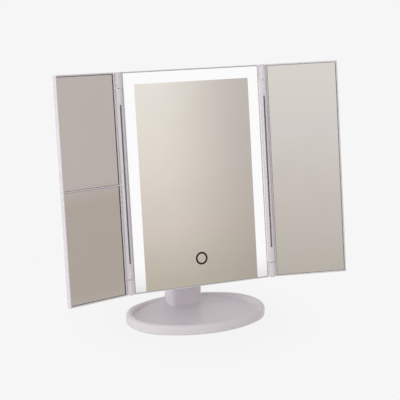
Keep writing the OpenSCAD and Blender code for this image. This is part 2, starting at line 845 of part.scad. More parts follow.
module board_screws() {
  color(steel) in_head() for (side = [-1, 1], z = board_screw_z)
    screw_y(side * board_screw_x, z, chassis_y + 0.2, board_y + board_t + board_screw_head_t,
            board_screw_r, board_screw_head_r, board_screw_head_t);
}

module usb_socket() {
  mouth = pod_w / 2 - 0.2;
  color(steel) in_head() difference() {
    block([mouth - usb_len, usb_y, usb_z - usb_w / 2], [mouth, usb_y + usb_t, usb_z + usb_w / 2]);
    block([mouth - usb_len + 1, usb_y + usb_sheet, usb_z - usb_w / 2 + usb_sheet],
          [mouth + 1, usb_y + usb_t - usb_sheet, usb_z + usb_w / 2 - usb_sheet]);
  }
}

// ---------- power ----------
module rear_housing() {
  color(white) in_head() difference() {
    union() {
      difference() {
        union() {
          slab([-frame_w / 2, frame_low], [frame_w / 2, frame_top],
               frame_depth, rear_back - rear_step_t, frame_corner);
          slab([-frame_w / 2 + rear_step, frame_low + rear_step], [frame_w / 2 - rear_step, frame_top - rear_step],
               rear_back - rear_step_t - 0.1, rear_back, frame_corner + 0.5);
          slab([-pod_w / 2, pod_low], [pod_w / 2, pod_top], rear_back - 1, pod_back, pod_corner);
        }
        block([-frame_w / 2 + rear_wall, frame_depth - 1, frame_low + rear_wall],
              [frame_w / 2 - rear_wall, rear_back - rear_wall, frame_top - rear_wall]);
        slab([-pod_w / 2 + rear_wall, pod_low + rear_wall], [pod_w / 2 - rear_wall, pod_top - rear_wall],
             frame_depth, pod_back - rear_wall, pod_corner - rear_wall);
      }
      for (x = [-1, 1], z = housing_screw_z)
        rod_y(x * housing_screw_x, z, chassis_back + housing_boss_t, rear_back - rear_wall + over, housing_boss_r);
      for (side = [-1, 1], z = bracket_screw_z)
        rod_y(side * bracket_screw_x, z, bracket_boss_y, pod_back - rear_wall + over, bracket_boss_r);
      bay_walls();
    }
    for (side = [-1, 1], z = housing_screw_z) {
      rod_y(side * housing_screw_x, z, 0, rear_back + 1, housing_screw_r + 0.2);
      rod_y(side * housing_screw_x, z, rear_back - housing_screw_head_t - 0.1, rear_back + 1,
            housing_screw_head_r + 0.3);
    }
    for (side = [-1, 1], z = bracket_screw_z)
      rod_y(side * bracket_screw_x, z, frame_depth, pod_back + 1, bracket_screw_r);
    block([-bay_w / 2, bay_front, bay_low], [bay_w / 2, pod_back + 1, bay_high]);
    block([pod_w / 2 - rear_wall - 1, usb_y - snap_gap, usb_z - usb_w / 2 - snap_gap],
          [pod_w / 2 + 1, usb_y + usb_t + snap_gap, usb_z + usb_w / 2 + snap_gap]);
    block([-slider_w / 2 - switch_travel / 2 - slider_room, pod_back - rear_wall - 1,
           switch_z - slider_h / 2 - slider_room],
          [slider_w / 2 + switch_travel / 2 + slider_room, pod_back + 1, switch_z + slider_h / 2 + slider_room]);
  }
}

// Walls of the battery bay, open at the back
module bay_walls() {
  block([-bay_w / 2 - bay_wall, bay_front - bay_floor_t, bay_low - bay_wall],
        [bay_w / 2 + bay_wall, pod_back - rear_wall + over, bay_high + bay_wall]);
}

function cell_x(i) = -bay_w / 2 + bay_gap + cell_d / 2 + i * (cell_d + bay_gap);

module battery_cells() {
  color("#8f949c") in_head() for (i = [0 : cell_count - 1]) {
    turned = i % 2;
    translate([cell_x(i), cell_y, bay_low + bay_end + turned * cell_len]) mirror([0, 0, turned]) {
      cylinder(h = cell_len - cell_tip, r = cell_d / 2);
      translate([0, 0, cell_len - cell_tip]) cylinder(h = cell_tip, r = cell_tip_r);
    }
  }
}

module battery_springs() {
  color(steel) in_head() for (i = [0 : cell_count - 1]) {
    turned = i % 2;
    seat = turned == 0 ? bay_low + contact_t : bay_high - contact_t;
    translate([cell_x(i), cell_y, seat]) mirror([0, 0, turned])
      cylinder(h = bay_end - contact_t, r1 = spring_base_r, r2 = spring_tip_r);
  }
}

module battery_contacts() {
  color(steel) in_head() for (i = [0 : cell_count - 1]) {
    for (z = [bay_low, bay_high - contact_t]) contact_block(cell_x(i), contact_w / 2, z, z + contact_t);
    plus = i % 2 == 0 ? bay_high - bay_end : bay_low + contact_t;
    contact_block(cell_x(i), contact_tab_w / 2, plus, plus + bay_end - contact_t);
  }
}

module contact_block(x, half, z0, z1) {
  block([x - half, cell_y - half, z0], [x + half, cell_y + half, z1]);
}

module battery_door() {
  color(white) in_head() {
    block([-bay_w / 2 - door_lap, pod_back + door_lip, bay_low - door_lap],
          [bay_w / 2 + door_lap, pod_back + door_lip + door_t, bay_high + door_lap]);
    block([-bay_w / 2 + door_play, pod_back - door_tongue, bay_low + door_play],
          [bay_w / 2 - door_play, pod_back + door_lip + over, bay_high - door_travel - door_play]);
    for (i = [1 : ridge_count]) {
      z = bay_high + door_lap - i * ridge_step - ridge_w;
      block([-ridge_len / 2, pod_back + door_lip + door_t - over, z],
            [ridge_len / 2, pod_back + door_lip + door_t + ridge_t, z + ridge_w]);
    }
  }
}

module switch_body() {
  color("#2b2b2e") in_head()
    block([-switch_w / 2, pod_back - rear_wall - 0.6 - switch_t, switch_z - switch_h / 2],
          [switch_w / 2, pod_back - rear_wall - 0.6, switch_z + switch_h / 2]);
}

module power_slider() {
  x = -switch_travel / 2;
  color("#3a3a3c") in_head() {
    block([x - slider_w / 2, pod_back - rear_wall - 0.5, switch_z - slider_h / 2],
          [x + slider_w / 2, pod_back + slider_proud, switch_z + slider_h / 2]);
    for (at = [-1, 0, 1] * slider_ridge_step)
      block([x + at - ridge_w / 2, pod_back + slider_proud - over, switch_z - slider_h / 2 + slider_room],
            [x + at + ridge_w / 2, pod_back + slider_proud + ridge_t, switch_z + slider_h / 2 - slider_room]);
  }
}

module housing_screws() {
  color(steel) in_head() for (side = [-1, 1], z = housing_screw_z)
    screw_y(side * housing_screw_x, z, chassis_y + 0.3, rear_back - 0.1,
            housing_screw_r, housing_screw_head_r, housing_screw_head_t);
}

// Wires from the board's upper edge to the battery bay
module battery_leads() {
  color("#b03030") in_head() for (side = [-1, 1]) translate([side * lead_x, board_y + board_t / 2, board_high])
    cylinder(h = bay_low - bay_wall - board_high, r = lead_r);
}

// Wires from the board's sides to the lamp boards
module led_leads() {
  color("#f4f4f4") in_head() for (side = [-1, 1]) mirror([side < 0 ? 1 : 0, 0, 0])
    rod_x(board_y + board_t / 2, lead_z, board_half, led_x, lead_r);
}

// ---------- wings ----------
module wing_frame(bar, turn) {
  difference() {
    union() {
      difference() {
        slab([wing_in, frame_low], [wing_out, frame_top], wing_front, cover_y, wing_corner);
        block([wing_in + wing_rim, -1, frame_low + wing_rim],
              [wing_out - wing_rim, wing_back, frame_top - wing_rim]);
      }
      if (bar > 0) block([wing_in + 1, wing_front, wing_mid - bar / 2], [wing_out - 1, cover_y, wing_mid + bar / 2]);
      translate([0, 0, barrel_low]) cylinder(h = barrel_high - barrel_low, r = barrel_r);
      block([0, web_y, barrel_low], [wing_in + 0.5, cover_y, barrel_high]);
    }
    for (z = [barrel_low - 1, barrel_high - pin_reach - 0.5])
      translate([0, 0, z]) cylinder(h = pin_reach + 1.5, r = pin_d / 2 + pin_play);
    rotate([0, 0, turn]) block([-groove_w / 2, -barrel_r - 1, (glass_h - groove_len) / 2],
                               [groove_w / 2, -barrel_r + groove_deep, (glass_h + groove_len) / 2]);
  }
}

module wing_mirror(low, high) {
  block([wing_glass_in, wing_mirror_y, low], [wing_glass_out, wing_mirror_y + wing_glass_t, high]);
}

module wing_back_cover() {
  slab([wing_in, frame_low], [wing_out, frame_top], cover_y, wing_back - wing_back_step_t, wing_corner);
  slab([wing_in + wing_back_step, frame_low + wing_back_step],
       [wing_out - wing_back_step, frame_top - wing_back_step],
       wing_back - wing_back_step_t - 0.1, wing_back, wing_corner);
}

// Strips of foam tape between two heights
module wing_tapes(low, high) {
  width = wing_glass_out - wing_glass_in;
  for (x = [0.15, 0.5, 0.85] * width)
    block([wing_glass_in + x - wing_tape_w / 2, wing_mirror_y + wing_glass_t, low + wing_tape_end],
          [wing_glass_in + x + wing_tape_w / 2, cover_y, high - wing_tape_end]);
}

module left_wing_frame() {
  color(white) in_wing(-1, left_fold) wing_frame(wing_bar, groove_turn_left);
}

module left_upper_mirror() {
  color(silvered) in_wing(-1, left_fold) wing_mirror(wing_mid + wing_bar / 2 + wing_glass_gap, wing_glass_high);
}

module left_lower_mirror() {
  color(silvered) in_wing(-1, left_fold) wing_mirror(wing_glass_low, wing_mid - wing_bar / 2 - wing_glass_gap);
}

module left_wing_tapes() {
  color("#d8d4d0") in_wing(-1, left_fold) {
    wing_tapes(wing_mid, wing_glass_high);
    wing_tapes(wing_glass_low, wing_mid);
  }
}

module left_wing_back() {
  color(white) in_wing(-1, left_fold) wing_back_cover();
}

module right_wing_frame() {
  color(white) in_wing(1, right_fold) wing_frame(0, groove_turn_right);
}

module right_mirror() {
  color(silvered) in_wing(1, right_fold) wing_mirror(wing_glass_low, wing_glass_high);
}

module right_wing_tapes() {
  color("#d8d4d0") in_wing(1, right_fold) wing_tapes(wing_glass_low, wing_glass_high);
}

module right_wing_back() {
  color(white) in_wing(1, right_fold) wing_back_cover();
}

// ---------- assembly ----------
base_tray();
base_weight();
base_cover();
base_pad();
base_screws();
neck_shell();
neck_plug();
neck_screws();
tilt_bracket();
bracket_screws();
tilt_shaft();
friction_washers();
tilt_nut();
tilt_caps();
front_frame();
centre_glass();
glass_tapes();
light_diffuser();
mirror_backing();
chassis_plate();
chassis_screws();
led_board_side(-1);  // led_board_left
led_board_top();
led_board_side(1);  // led_board_right
led_lamps();
touch_pad();
touch_spring();
control_board();
board_parts();
board_screws();
usb_socket();
switch_body();
power_slider();
battery_cells();
battery_springs();
battery_contacts();
battery_leads();
led_leads();
rear_housing();
battery_door();
housing_screws();
hinge_pins(-1);  // left_hinge_pins
hinge_pins(1);  // right_hinge_pins
left_wing_frame();
left_upper_mirror();
left_lower_mirror();
left_wing_tapes();
left_wing_back();
right_wing_frame();
right_mirror();
right_wing_tapes();
right_wing_back();
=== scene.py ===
"""Looks, light and camera for a lighted three-panel vanity mirror on an oval tray base.

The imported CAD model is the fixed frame. Lengths in the comments are in millimetres.
"""
import json
import math

import bmesh
import bpy
from mathutils import Matrix, Vector


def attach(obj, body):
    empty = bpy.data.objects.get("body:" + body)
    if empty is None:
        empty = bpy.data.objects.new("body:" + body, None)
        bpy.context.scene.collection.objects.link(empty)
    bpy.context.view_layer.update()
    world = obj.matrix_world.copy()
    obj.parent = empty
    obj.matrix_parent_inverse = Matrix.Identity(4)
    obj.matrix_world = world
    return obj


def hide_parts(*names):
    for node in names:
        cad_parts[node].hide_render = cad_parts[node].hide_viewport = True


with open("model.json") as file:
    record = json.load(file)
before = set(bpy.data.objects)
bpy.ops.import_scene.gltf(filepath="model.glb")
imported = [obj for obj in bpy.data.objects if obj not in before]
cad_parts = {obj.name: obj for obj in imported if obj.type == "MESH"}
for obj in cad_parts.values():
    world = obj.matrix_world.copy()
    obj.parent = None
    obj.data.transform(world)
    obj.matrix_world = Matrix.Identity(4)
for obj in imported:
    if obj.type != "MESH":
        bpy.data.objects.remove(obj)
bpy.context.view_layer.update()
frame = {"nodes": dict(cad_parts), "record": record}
nodes = frame["nodes"]
body_of_node = {name: body for body, names in frame["record"]["behaviour"]["bodies"].items() for name in names}
MM = 0.001

# ---------- sizes that the CAD model also has, in millimetres ----------
HEAD_LEAN = 10
TILT_AXIS = (0, 30, 66)
TILT_AXIS_IN_HEAD = (0, 43.8, 27.6)
HINGE_X = 89
HINGE_FORWARD = 0.8
LEFT_FOLD = 22.5
RIGHT_FOLD = 17
GLASS_W, GLASS_H, GLASS_T = 166, 245, 3
BAND_W = 13
TOUCH_UP = 30.5
BARREL_R, GROOVE_LEN = 3.9, 176


def place(*parts):
    """One matrix in metres from moves given in millimetres and turns given as (degrees, axis)."""
    whole = Matrix.Identity(4)
    for part in parts:
        if isinstance(part, Matrix):
            whole = whole @ part
        elif len(part) == 2:
            whole = whole @ Matrix.Rotation(math.radians(part[0]), 4, part[1])
        else:
            whole = whole @ Matrix.Translation(Vector(part) * MM)
    return whole


# Head: x to the right, y back from the glass's face, z up from its lower edge
HEAD = place(TILT_AXIS, (-HEAD_LEAN, "X"), tuple(-v for v in TILT_AXIS_IN_HEAD))
# Wings: x outward from the hinge axis, y back from it
LEFT_WING = place(HEAD, (-HINGE_X, -HINGE_FORWARD, 0), Matrix.Diagonal((-1, 1, 1, 1)), (-LEFT_FOLD, "Z"))
RIGHT_WING = place(HEAD, (HINGE_X, -HINGE_FORWARD, 0), (-RIGHT_FOLD, "Z"))


# ---------- nodes and materials ----------
def colour(code):
    """An sRGB hex colour as linear red, green, blue and alpha."""
    channels = [int(code[i : i + 2], 16) / 255 for i in (1, 3, 5)]
    return [c / 12.92 if c <= 0.04045 else ((c + 0.055) / 1.055) ** 2.4 for c in channels] + [1.0]


def add(tree, kind, inputs=None, stops=(), **settings):
    """Adds one node. Inputs are values or the sockets that feed them, settings are the node's own
    properties, and stops are a colour ramp's (position, hex colour) pairs."""
    node = tree.nodes.new(kind)
    for name, value in settings.items():
        setattr(node, name, value)
    for key, value in (inputs or {}).items():
        for one in value if isinstance(value, list) and isinstance(value[0], bpy.types.NodeSocket) else [value]:
            if isinstance(one, bpy.types.NodeSocket):
                tree.links.new(one, node.inputs[key])
            else:
                node.inputs[key].default_value = one
    for i, (position, code) in enumerate(stops):
        points = node.color_ramp.elements
        point = points[i] if i < len(points) else points.new(position)
        point.position, point.color = position, colour(code)
    return node


def per(size):
    """A texture scale that gives features of this size in millimetres."""
    return 1 / (size * MM)


def finish(name, tints, roughness, size, relief=0.0, metallic=0.0, ior=None, kind="Noise", drift=None, **pattern):
    """A material whose tint, roughness and relief follow one pattern of this size.

    tints are two hex colours and roughness two values, for the pattern's low and high places. Sizes and
    relief are in millimetres. drift is the size of a second, slower pattern that moves the tint instead.
    """
    made = bpy.data.materials.new(name)
    made.use_nodes = True
    made.diffuse_color = colour(tints[0])
    tree = made.node_tree
    shader = tree.nodes["Principled BSDF"]
    shader.inputs["Metallic"].default_value = metallic
    if ior:
        shader.inputs["IOR"].default_value = ior
    at = add(tree, "ShaderNodeTexCoord").outputs["Object"]
    fine = add(tree, "ShaderNodeTex" + kind, {"Vector": at, "Scale": per(size), **pattern})
    fine = fine.outputs["Distance" if kind == "Voronoi" else "Fac"]
    slow = add(tree, "ShaderNodeTexNoise", {"Vector": at, "Scale": per(drift)}).outputs["Fac"] if drift else fine
    tint = add(tree, "ShaderNodeValToRGB", {"Fac": slow}, [(0.3, tints[0]), (0.7, tints[1])])
    tree.links.new(tint.outputs["Color"], shader.inputs["Base Color"])
    sheen = add(tree, "ShaderNodeMapRange", {"Value": fine, "To Min": roughness[0], "To Max": roughness[1]})
    tree.links.new(sheen.outputs["Result"], shader.inputs["Roughness"])
    if relief:
        bump = add(tree, "ShaderNodeBump", {"Height": fine, "Distance": relief * MM})
        tree.links.new(bump.outputs["Normal"], shader.inputs["Normal"])
    return made, tree, shader, at


# ABS moulded in a polished tool: white with a breath of lilac, a satin shine, and the slight orange
# peel and tint drift of a large thin moulding.
satin_abs = finish("satin_white_abs", ("#E6E0E2", "#E2DCDE"), (0.34, 0.42), 1.6, 0.012, ior=1.53, drift=45)[0]

# ABS from a spark-eroded tool: the back and the covers are matt, with a fine even grain. The real
# grain is about 0.2 mm; it is drawn at 0.9 mm so that it shows.
grained_abs = finish("grained_white_abs", ("#E4DFE2", "#E0DBDE"), (0.48, 0.62), 0.9, 0.05, ior=1.53,
                     kind="Voronoi", drift=60)[0]

# ABS without paint or polish inside the head: creamier and flatter, with the swirls of its flow.
plain_abs = finish("natural_abs", ("#E2DED8", "#DBD7D0"), (0.45, 0.56), 18, 0.02, ior=1.53, Detail=4.0,
                   Distortion=0.6)[0]

# Silvered float glass: nearly perfect reflection, a little lost in the glass, and the faint haze of wiping.
silvered = finish("silvered_float_glass", ("#F5F4F3", "#F2F1F0"), (0.0, 0.012), 70, metallic=1.0, Detail=5.0,
                  Distortion=1.2)[0]

# Ground edges of the glass: clear, with the green of float glass and a fine matt from the wheel.
glass_edge = finish("ground_glass_edge", ("#AFC0B7", "#C4CFC9"), (0.2, 0.36), 1.2, 0.02, ior=1.52, Detail=3.0)[0]

# The mirror's backing paint on the glass's back: dark grey-brown under a glossy surface, with the unevenness of a
# dipped coat.
# It is also painted shade: seen through the glass where the silver stops short of a wing mirror's edge, it stands for
# the shaded gap by the rim.
backing_paint_and_edge_shade = finish("mirror_backing_paint_and_edge_shade", ("#352F2E", "#443E3C"), (0.1, 0.2), 2.5, ior=1.52)[0]

# Painted shade inside the barrels' long grooves: a dull grey, much darker than the ABS round it.
groove_shade_grey = finish("groove_painted_shade", ("#AAA7AE", "#A09DA4"), (0.7, 0.85), 0.8, 0.02, ior=1.5)[0]

# Steel of the hinge pins, dark and dull as painted shade: seen only as the line where a barrel meets a knuckle, they
# make that line dark.
pin_shade_steel = finish("hinge_pin_painted_shade", ("#3A3A3D", "#48484B"), (0.45, 0.6), 1.5, metallic=0.6)[0]

# Opal acrylic: milky with a soft gloss. It spreads the lamps' light.
opal = finish("opal_acrylic", ("#FAF9F6", "#F1F0ED"), (0.28, 0.36), 12, ior=1.49)[0]

# Screen-printed ink of the touch ring: near black, slightly glossy, with the screen's tiny steps.
ring_ink = finish("printed_black_ink", ("#0C0B0B", "#141313"), (0.3, 0.45), 0.5, ior=1.4)[0]

# Zinc-plated steel of the screws, shaft, nut and washers: bright grey with a fine turned grain.
zinc = finish("zinc_plated_steel", ("#BBBEC2", "#CFD1D3"), (0.22, 0.4), 0.6, metallic=1.0)[0]

# Nickel-plated spring steel of the contacts: warmer and brighter than zinc, with drawing lines.
nickel = finish("nickel_plated_spring", ("#C8C2B6", "#D8D2C8"), (0.18, 0.3), 9, metallic=1.0, kind="Wave",
                Distortion=3.0)[0]

# Rolled steel plate that weighs the base down: dark and dull, with mill scale.
plate = finish("rolled_steel_plate", ("#6B6C70", "#8C8D8F"), (0.4, 0.62), 9, 0.03, metallic=1.0, Detail=6.0,
               Roughness=0.65)[0]

# Moulded rubber of the foot: dark grey and dull, with a pebble grip drawn at 1.5 mm.
rubber = finish("moulded_rubber", ("#46464A", "#38383B"), (0.72, 0.88), 1.5, 0.15, ior=1.52, kind="Voronoi")[0]

# Double-sided foam tape: off-white and matt, with open cells.
foam = finish("foam_tape", ("#E0DCD7", "#CFCBC4"), (0.86, 0.94), 0.7, 0.1, kind="Voronoi")[0]

# Lamp packages: a phosphor window in a white body, seen as one warm glowing face.
phosphor, tree, shader, at = finish("lamp_phosphor", ("#FFF0B8", "#F8DE90"), (0.35, 0.45), 1.0, ior=1.5)
shader.inputs["Emission Color"].default_value = colour("#FFF3D0")
shader.inputs["Emission Strength"].default_value = 0.6

# Black glass-filled nylon of the slider and switch: deep grey, satin, with faint fibre mottling.
black_nylon = finish("black_nylon", ("#262628", "#333336"), (0.36, 0.5), 1.1, 0.02, ior=1.53, Detail=5.0)[0]

# PVC wire insulation, red and white: smooth, slightly waxy, with a faint ripple from extrusion.
red_pvc = finish("red_pvc_insulation", ("#B62E30", "#A32527"), (0.34, 0.42), 2.5, 0.03, ior=1.53)[0]
white_pvc = finish("white_pvc_insulation", ("#F0EFEC", "#E4E3E0"), (0.34, 0.42), 2.5, 0.03, ior=1.53)[0]

# Etched glass over the opal diffuser, lit from behind: an even white glow right to its edges, a little
# weaker over the last 15 mm at the bottom, where no lamp stands.
lit_frost, tree, shader, at = finish("lit_etched_glass", ("#505154", "#58595C"), (0.46, 0.54), 0.8, 0.02, ior=1.52)
upright = add(tree, "ShaderNodeMapping", {"Vector": at, "Rotation": (math.radians(HEAD_LEAN), 0, 0)})
height = add(tree, "ShaderNodeSeparateXYZ", {"Vector": upright.outputs["Vector"]}).outputs["Z"]
fade = add(tree, "ShaderNodeMapRange", {"Value": height, "From Min": 0.040, "From Max": 0.070})
glow = add(tree, "ShaderNodeValToRGB", {"Fac": fade.outputs["Result"]}, [
    (0.0, "#D8D9DB"), (0.4, "#F0EFEF"), (1.0, "#FCFBFC")])
tree.links.new(glow.outputs["Color"], shader.inputs["Emission Color"])
shader.inputs["Emission Strength"].default_value = 0.9

# Glass-fibre board under green solder mask: copper tracks show as lighter lines 2 mm apart.
board, tree, shader, at = finish("solder_masked_board", ("#2A6540", "#2F7048"), (0.28, 0.4), 0.8, ior=1.55)
flat = add(tree, "ShaderNodeMapping", {"Vector": at, "Rotation": (math.radians(90 + HEAD_LEAN), 0, 0)})
tracks = add(tree, "ShaderNodeTexBrick", {
    "Vector": flat.outputs["Vector"], "Color1": colour("#2A6540"), "Color2": colour("#2F7048"),
    "Mortar": colour("#4E9468"), "Scale": per(1), "Mortar Size": 0.12, "Brick Width": 9.0, "Row Height": 2.0})
tree.links.new(tracks.outputs["Color"], shader.inputs["Base Color"])
raised = add(tree, "ShaderNodeBump", {"Height": tracks.outputs["Fac"], "Distance": 0.035 * MM})
tree.links.new(raised.outputs["Normal"], shader.inputs["Normal"])

# Shrink sleeve of the cells: metallised film, dark with a copper-coloured end and no print.
sleeve, tree, shader, at = finish("metallised_sleeve", ("#8D9299", "#979CA3"), (0.22, 0.36), 5, metallic=0.85)
upright = add(tree, "ShaderNodeMapping", {"Vector": at, "Rotation": (math.radians(HEAD_LEAN), 0, 0)})
height = add(tree, "ShaderNodeSeparateXYZ", {"Vector": upright.outputs["Vector"]}).outputs["Z"]
along = add(tree, "ShaderNodeMapRange", {"Value": height, "From Min": 0.105, "From Max": 0.155})
ends = add(tree, "ShaderNodeValToRGB", {"Fac": along.outputs["Result"]}, [
    (0.0, "#B07A4C"), (0.28, "#4A4D52"), (0.30, "#979CA3")])
tree.links.new(ends.outputs["Color"], shader.inputs["Base Color"])


# ---------- making pieces ----------
WELD = 1e-6  # metres
FLAT_ANGLE = 0.6  # degrees, under which two triangles are one flat face
EDGE_ANGLE = 38  # degrees, over which a moulding's edge is rounded


def piece(name, mesh, where=None):
    """A new object at the origin; its place goes into its mesh, and a mirrored mesh is turned the right way out."""
    if where:
        mesh.transform(where)
        if where.determinant() < 0:
            mesh.flip_normals()
    made = bpy.data.objects.new(name, mesh)
    bpy.context.scene.collection.objects.link(made)
    return made


def evaluated(made):
    """Turns an object's modifiers into its plain mesh."""
    bpy.context.view_layer.update()
    graph = bpy.context.evaluated_depsgraph_get()
    mesh = bpy.data.meshes.new_from_object(made.evaluated_get(graph), depsgraph=graph)
    made.modifiers.clear()
    made.data = mesh
    return made


def stands_for(made, slot_name, *names):
    """The piece hides these CAD nodes and moves with their body; slot_name is not used."""
    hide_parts(*names)
    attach(made, body_of_node[names[0]])
    return made


def welded(node):
    """A CAD node's triangles as one welded bmesh with its flat faces whole again."""
    form = bmesh.new()
    form.from_mesh(nodes[node].data)
    bmesh.ops.remove_doubles(form, verts=form.verts, dist=WELD)
    bmesh.ops.dissolve_limit(form, angle_limit=math.radians(FLAT_ANGLE), verts=form.verts, edges=form.edges)
    return form


def softened(node, radius, coat, slot_name, name):
    """Stands for a CAD node with the same shape, its sharp edges rounded as a mould leaves them."""
    form = welded(node)
    mesh = bpy.data.meshes.new(name)
    form.to_mesh(mesh)
    form.free()
    mesh.shade_smooth()
    made = piece(name, mesh)
    rounding = made.modifiers.new("rounding", "BEVEL")
    rounding.width = radius * MM
    rounding.segments = 2
    rounding.limit_method = "ANGLE"
    rounding.angle_limit = math.radians(EDGE_ANGLE)
    rounding.use_clamp_overlap = False
    rounding.harden_normals = True
    made.modifiers.new("weighting", "WEIGHTED_NORMAL").keep_sharp = True
    evaluated(made)
    made.data.materials.clear()
    made.data.materials.append(coat)
    return stands_for(made, slot_name, node)


def geometry_tree(name, sizes):
    """A Geometry Nodes tree with named inputs; sizes are (name, socket type, default)."""
    tree = bpy.data.node_groups.new(name, "GeometryNodeTree")
    tree.interface.new_socket("Geometry", in_out="INPUT", socket_type="NodeSocketGeometry")
    tree.interface.new_socket("Geometry", in_out="OUTPUT", socket_type="NodeSocketGeometry")
    for label, kind, default in sizes:
        socket = tree.interface.new_socket(label, in_out="INPUT", socket_type=kind)
        if default is not None:
            socket.default_value = default
    return tree, tree.nodes.new("NodeGroupInput").outputs, tree.nodes.new("NodeGroupOutput").inputs


def grown(name, seed, tree, values):
    """Runs a geometry tree on a seed mesh and keeps the result as a plain mesh."""
    made = piece(name, seed)
    growth = made.modifiers.new(tree.name, "NODES")
    growth.node_group = tree
    for item in tree.interface.items_tree:
        if item.in_out == "INPUT" and item.name in values:
            growth[item.identifier] = values[item.name]
    return evaluated(made)


def arc(centre, radius, start, end, steps):
    """Points on an arc in a plane, angles in degrees."""
    turns = [math.radians(start + (end - start) * i / steps) for i in range(steps + 1)]
    return [(centre[0] + radius * math.cos(t), centre[1] + radius * math.sin(t)) for t in turns]


# ---------- oval tray ----------
# The outline is four arcs, so its tray follows one rule: a rim and slope profile carried round at a steady
# turn, each point set in from the outline by the profile's own distance.
BASE_L, BASE_W, END_R = 168, 112, 45
BASE_H, RIM_W, COVE_W, FLOOR_Z, FLOOR_T, WALL, EDGE_Z, EDGE_R = 12.3, 8.5, 5, 7, 2, 2.2, 0.8, 2
SLOPE_FOOT, SLOPE_DROP, SLOPE_ROOT = 24.5, 1.1, 0.4
HOLLOW_BELOW_FLOOR = 0.6  # how far under the floor the rim's hollow ends
FLOOR_RINGS = (40, 26)  # how far in from the outline the floor's inner edge and one more ring lie
TRAY_STEPS, COVE_STEPS, RIM_STEPS, EDGE_STEPS = 240, 12, 36, 16
TRAY_CREASE = 7  # degrees


def tray_tree():
    """Carries the seed mesh, read as a profile of distances in from the outline, round the four-arc outline."""
    tree, given, out = geometry_tree("oval tray", [
        ("Steps", "NodeSocketInt", TRAY_STEPS), ("End arc centre", "NodeSocketFloat", 0.039),
        ("End arc radius", "NodeSocketFloat", 0.045), ("Side arc centre", "NodeSocketFloat", 0.052),
        ("Side arc radius", "NodeSocketFloat", 0.110), ("Seam", "NodeSocketFloat", 0.6),
        ("Material", "NodeSocketMaterial", None)])
    count = add(tree, "GeometryNodeAttributeDomainSize", {"Geometry": given["Geometry"]}).outputs["Point Count"]
    rows = add(tree, "ShaderNodeMath", {0: given["Steps"], 1: 1.0}, operation="ADD").outputs[0]
    sheet = add(tree, "GeometryNodeMeshGrid", {"Vertices X": rows, "Vertices Y": count})
    index = add(tree, "GeometryNodeInputIndex").outputs["Index"]
    station = add(tree, "ShaderNodeMath", {0: add(tree, "ShaderNodeMath", {
        0: index, 1: count}, operation="DIVIDE").outputs[0]}, operation="FLOOR").outputs[0]
    rung = add(tree, "ShaderNodeMath", {0: index, 1: count}, operation="MODULO").outputs[0]
    turn = add(tree, "ShaderNodeMath", {0: add(tree, "ShaderNodeMath", {
        0: station, 1: given["Steps"]}, operation="DIVIDE").outputs[0], 1: math.tau}, operation="MULTIPLY").outputs[0]
    outward = add(tree, "ShaderNodeVectorRotate", {
        "Vector": (1.0, 0.0, 0.0), "Angle": turn}, rotation_type="Z_AXIS").outputs["Vector"]
    side = add(tree, "ShaderNodeVectorMath", {0: outward}, operation="SIGN").outputs[0]
    lean = add(tree, "ShaderNodeSeparateXYZ", {"Vector": add(tree, "ShaderNodeVectorMath", {
        0: outward}, operation="ABSOLUTE").outputs[0]}).outputs["X"]
    on_end = add(tree, "FunctionNodeCompare", {0: lean, 1: given["Seam"]}, operation="GREATER_THAN").outputs[0]
    below = add(tree, "ShaderNodeMath", {0: given["Side arc centre"], 1: -1.0}, operation="MULTIPLY").outputs[0]
    centre = add(tree, "GeometryNodeSwitch", {
        "Switch": on_end, "False": add(tree, "ShaderNodeCombineXYZ", {"Y": below}).outputs[0],
        "True": add(tree, "ShaderNodeCombineXYZ", {"X": given["End arc centre"]}).outputs[0]}, input_type="VECTOR")
    radius = add(tree, "GeometryNodeSwitch", {
        "Switch": on_end, "False": given["Side arc radius"], "True": given["End arc radius"]}, input_type="FLOAT")
    profile = add(tree, "ShaderNodeSeparateXYZ", {"Vector": add(tree, "GeometryNodeSampleIndex", {
        "Geometry": given["Geometry"], "Value": add(tree, "GeometryNodeInputPosition").outputs[0],
        "Index": rung}, data_type="FLOAT_VECTOR").outputs["Value"]}).outputs
    reach = add(tree, "ShaderNodeMath", {0: radius.outputs[0], 1: profile["X"]}, operation="SUBTRACT").outputs[0]
    arm = add(tree, "ShaderNodeVectorMath", {0: outward, "Scale": reach}, operation="SCALE").outputs[0]
    root = add(tree, "ShaderNodeVectorMath", {0: centre.outputs[0], 1: side}, operation="MULTIPLY").outputs[0]
    spot = add(tree, "ShaderNodeVectorMath", {0: add(tree, "ShaderNodeVectorMath", {
        0: root, 1: arm}, operation="ADD").outputs[0], 1: add(tree, "ShaderNodeCombineXYZ", {
            "Z": profile["Z"]}).outputs[0]}, operation="ADD").outputs[0]
    laid = add(tree, "GeometryNodeSetPosition", {"Geometry": sheet.outputs["Mesh"], "Position": spot})
    closed = add(tree, "GeometryNodeMergeByDistance", {"Geometry": laid.outputs[0], "Distance": WELD})
    real = add(tree, "GeometryNodeRealizeInstances", {"Geometry": closed.outputs[0]})
    coated = add(tree, "GeometryNodeSetMaterial", {"Geometry": real.outputs[0], "Material": given["Material"]})
    tree.links.new(coated.outputs[0], out["Geometry"])
    return tree


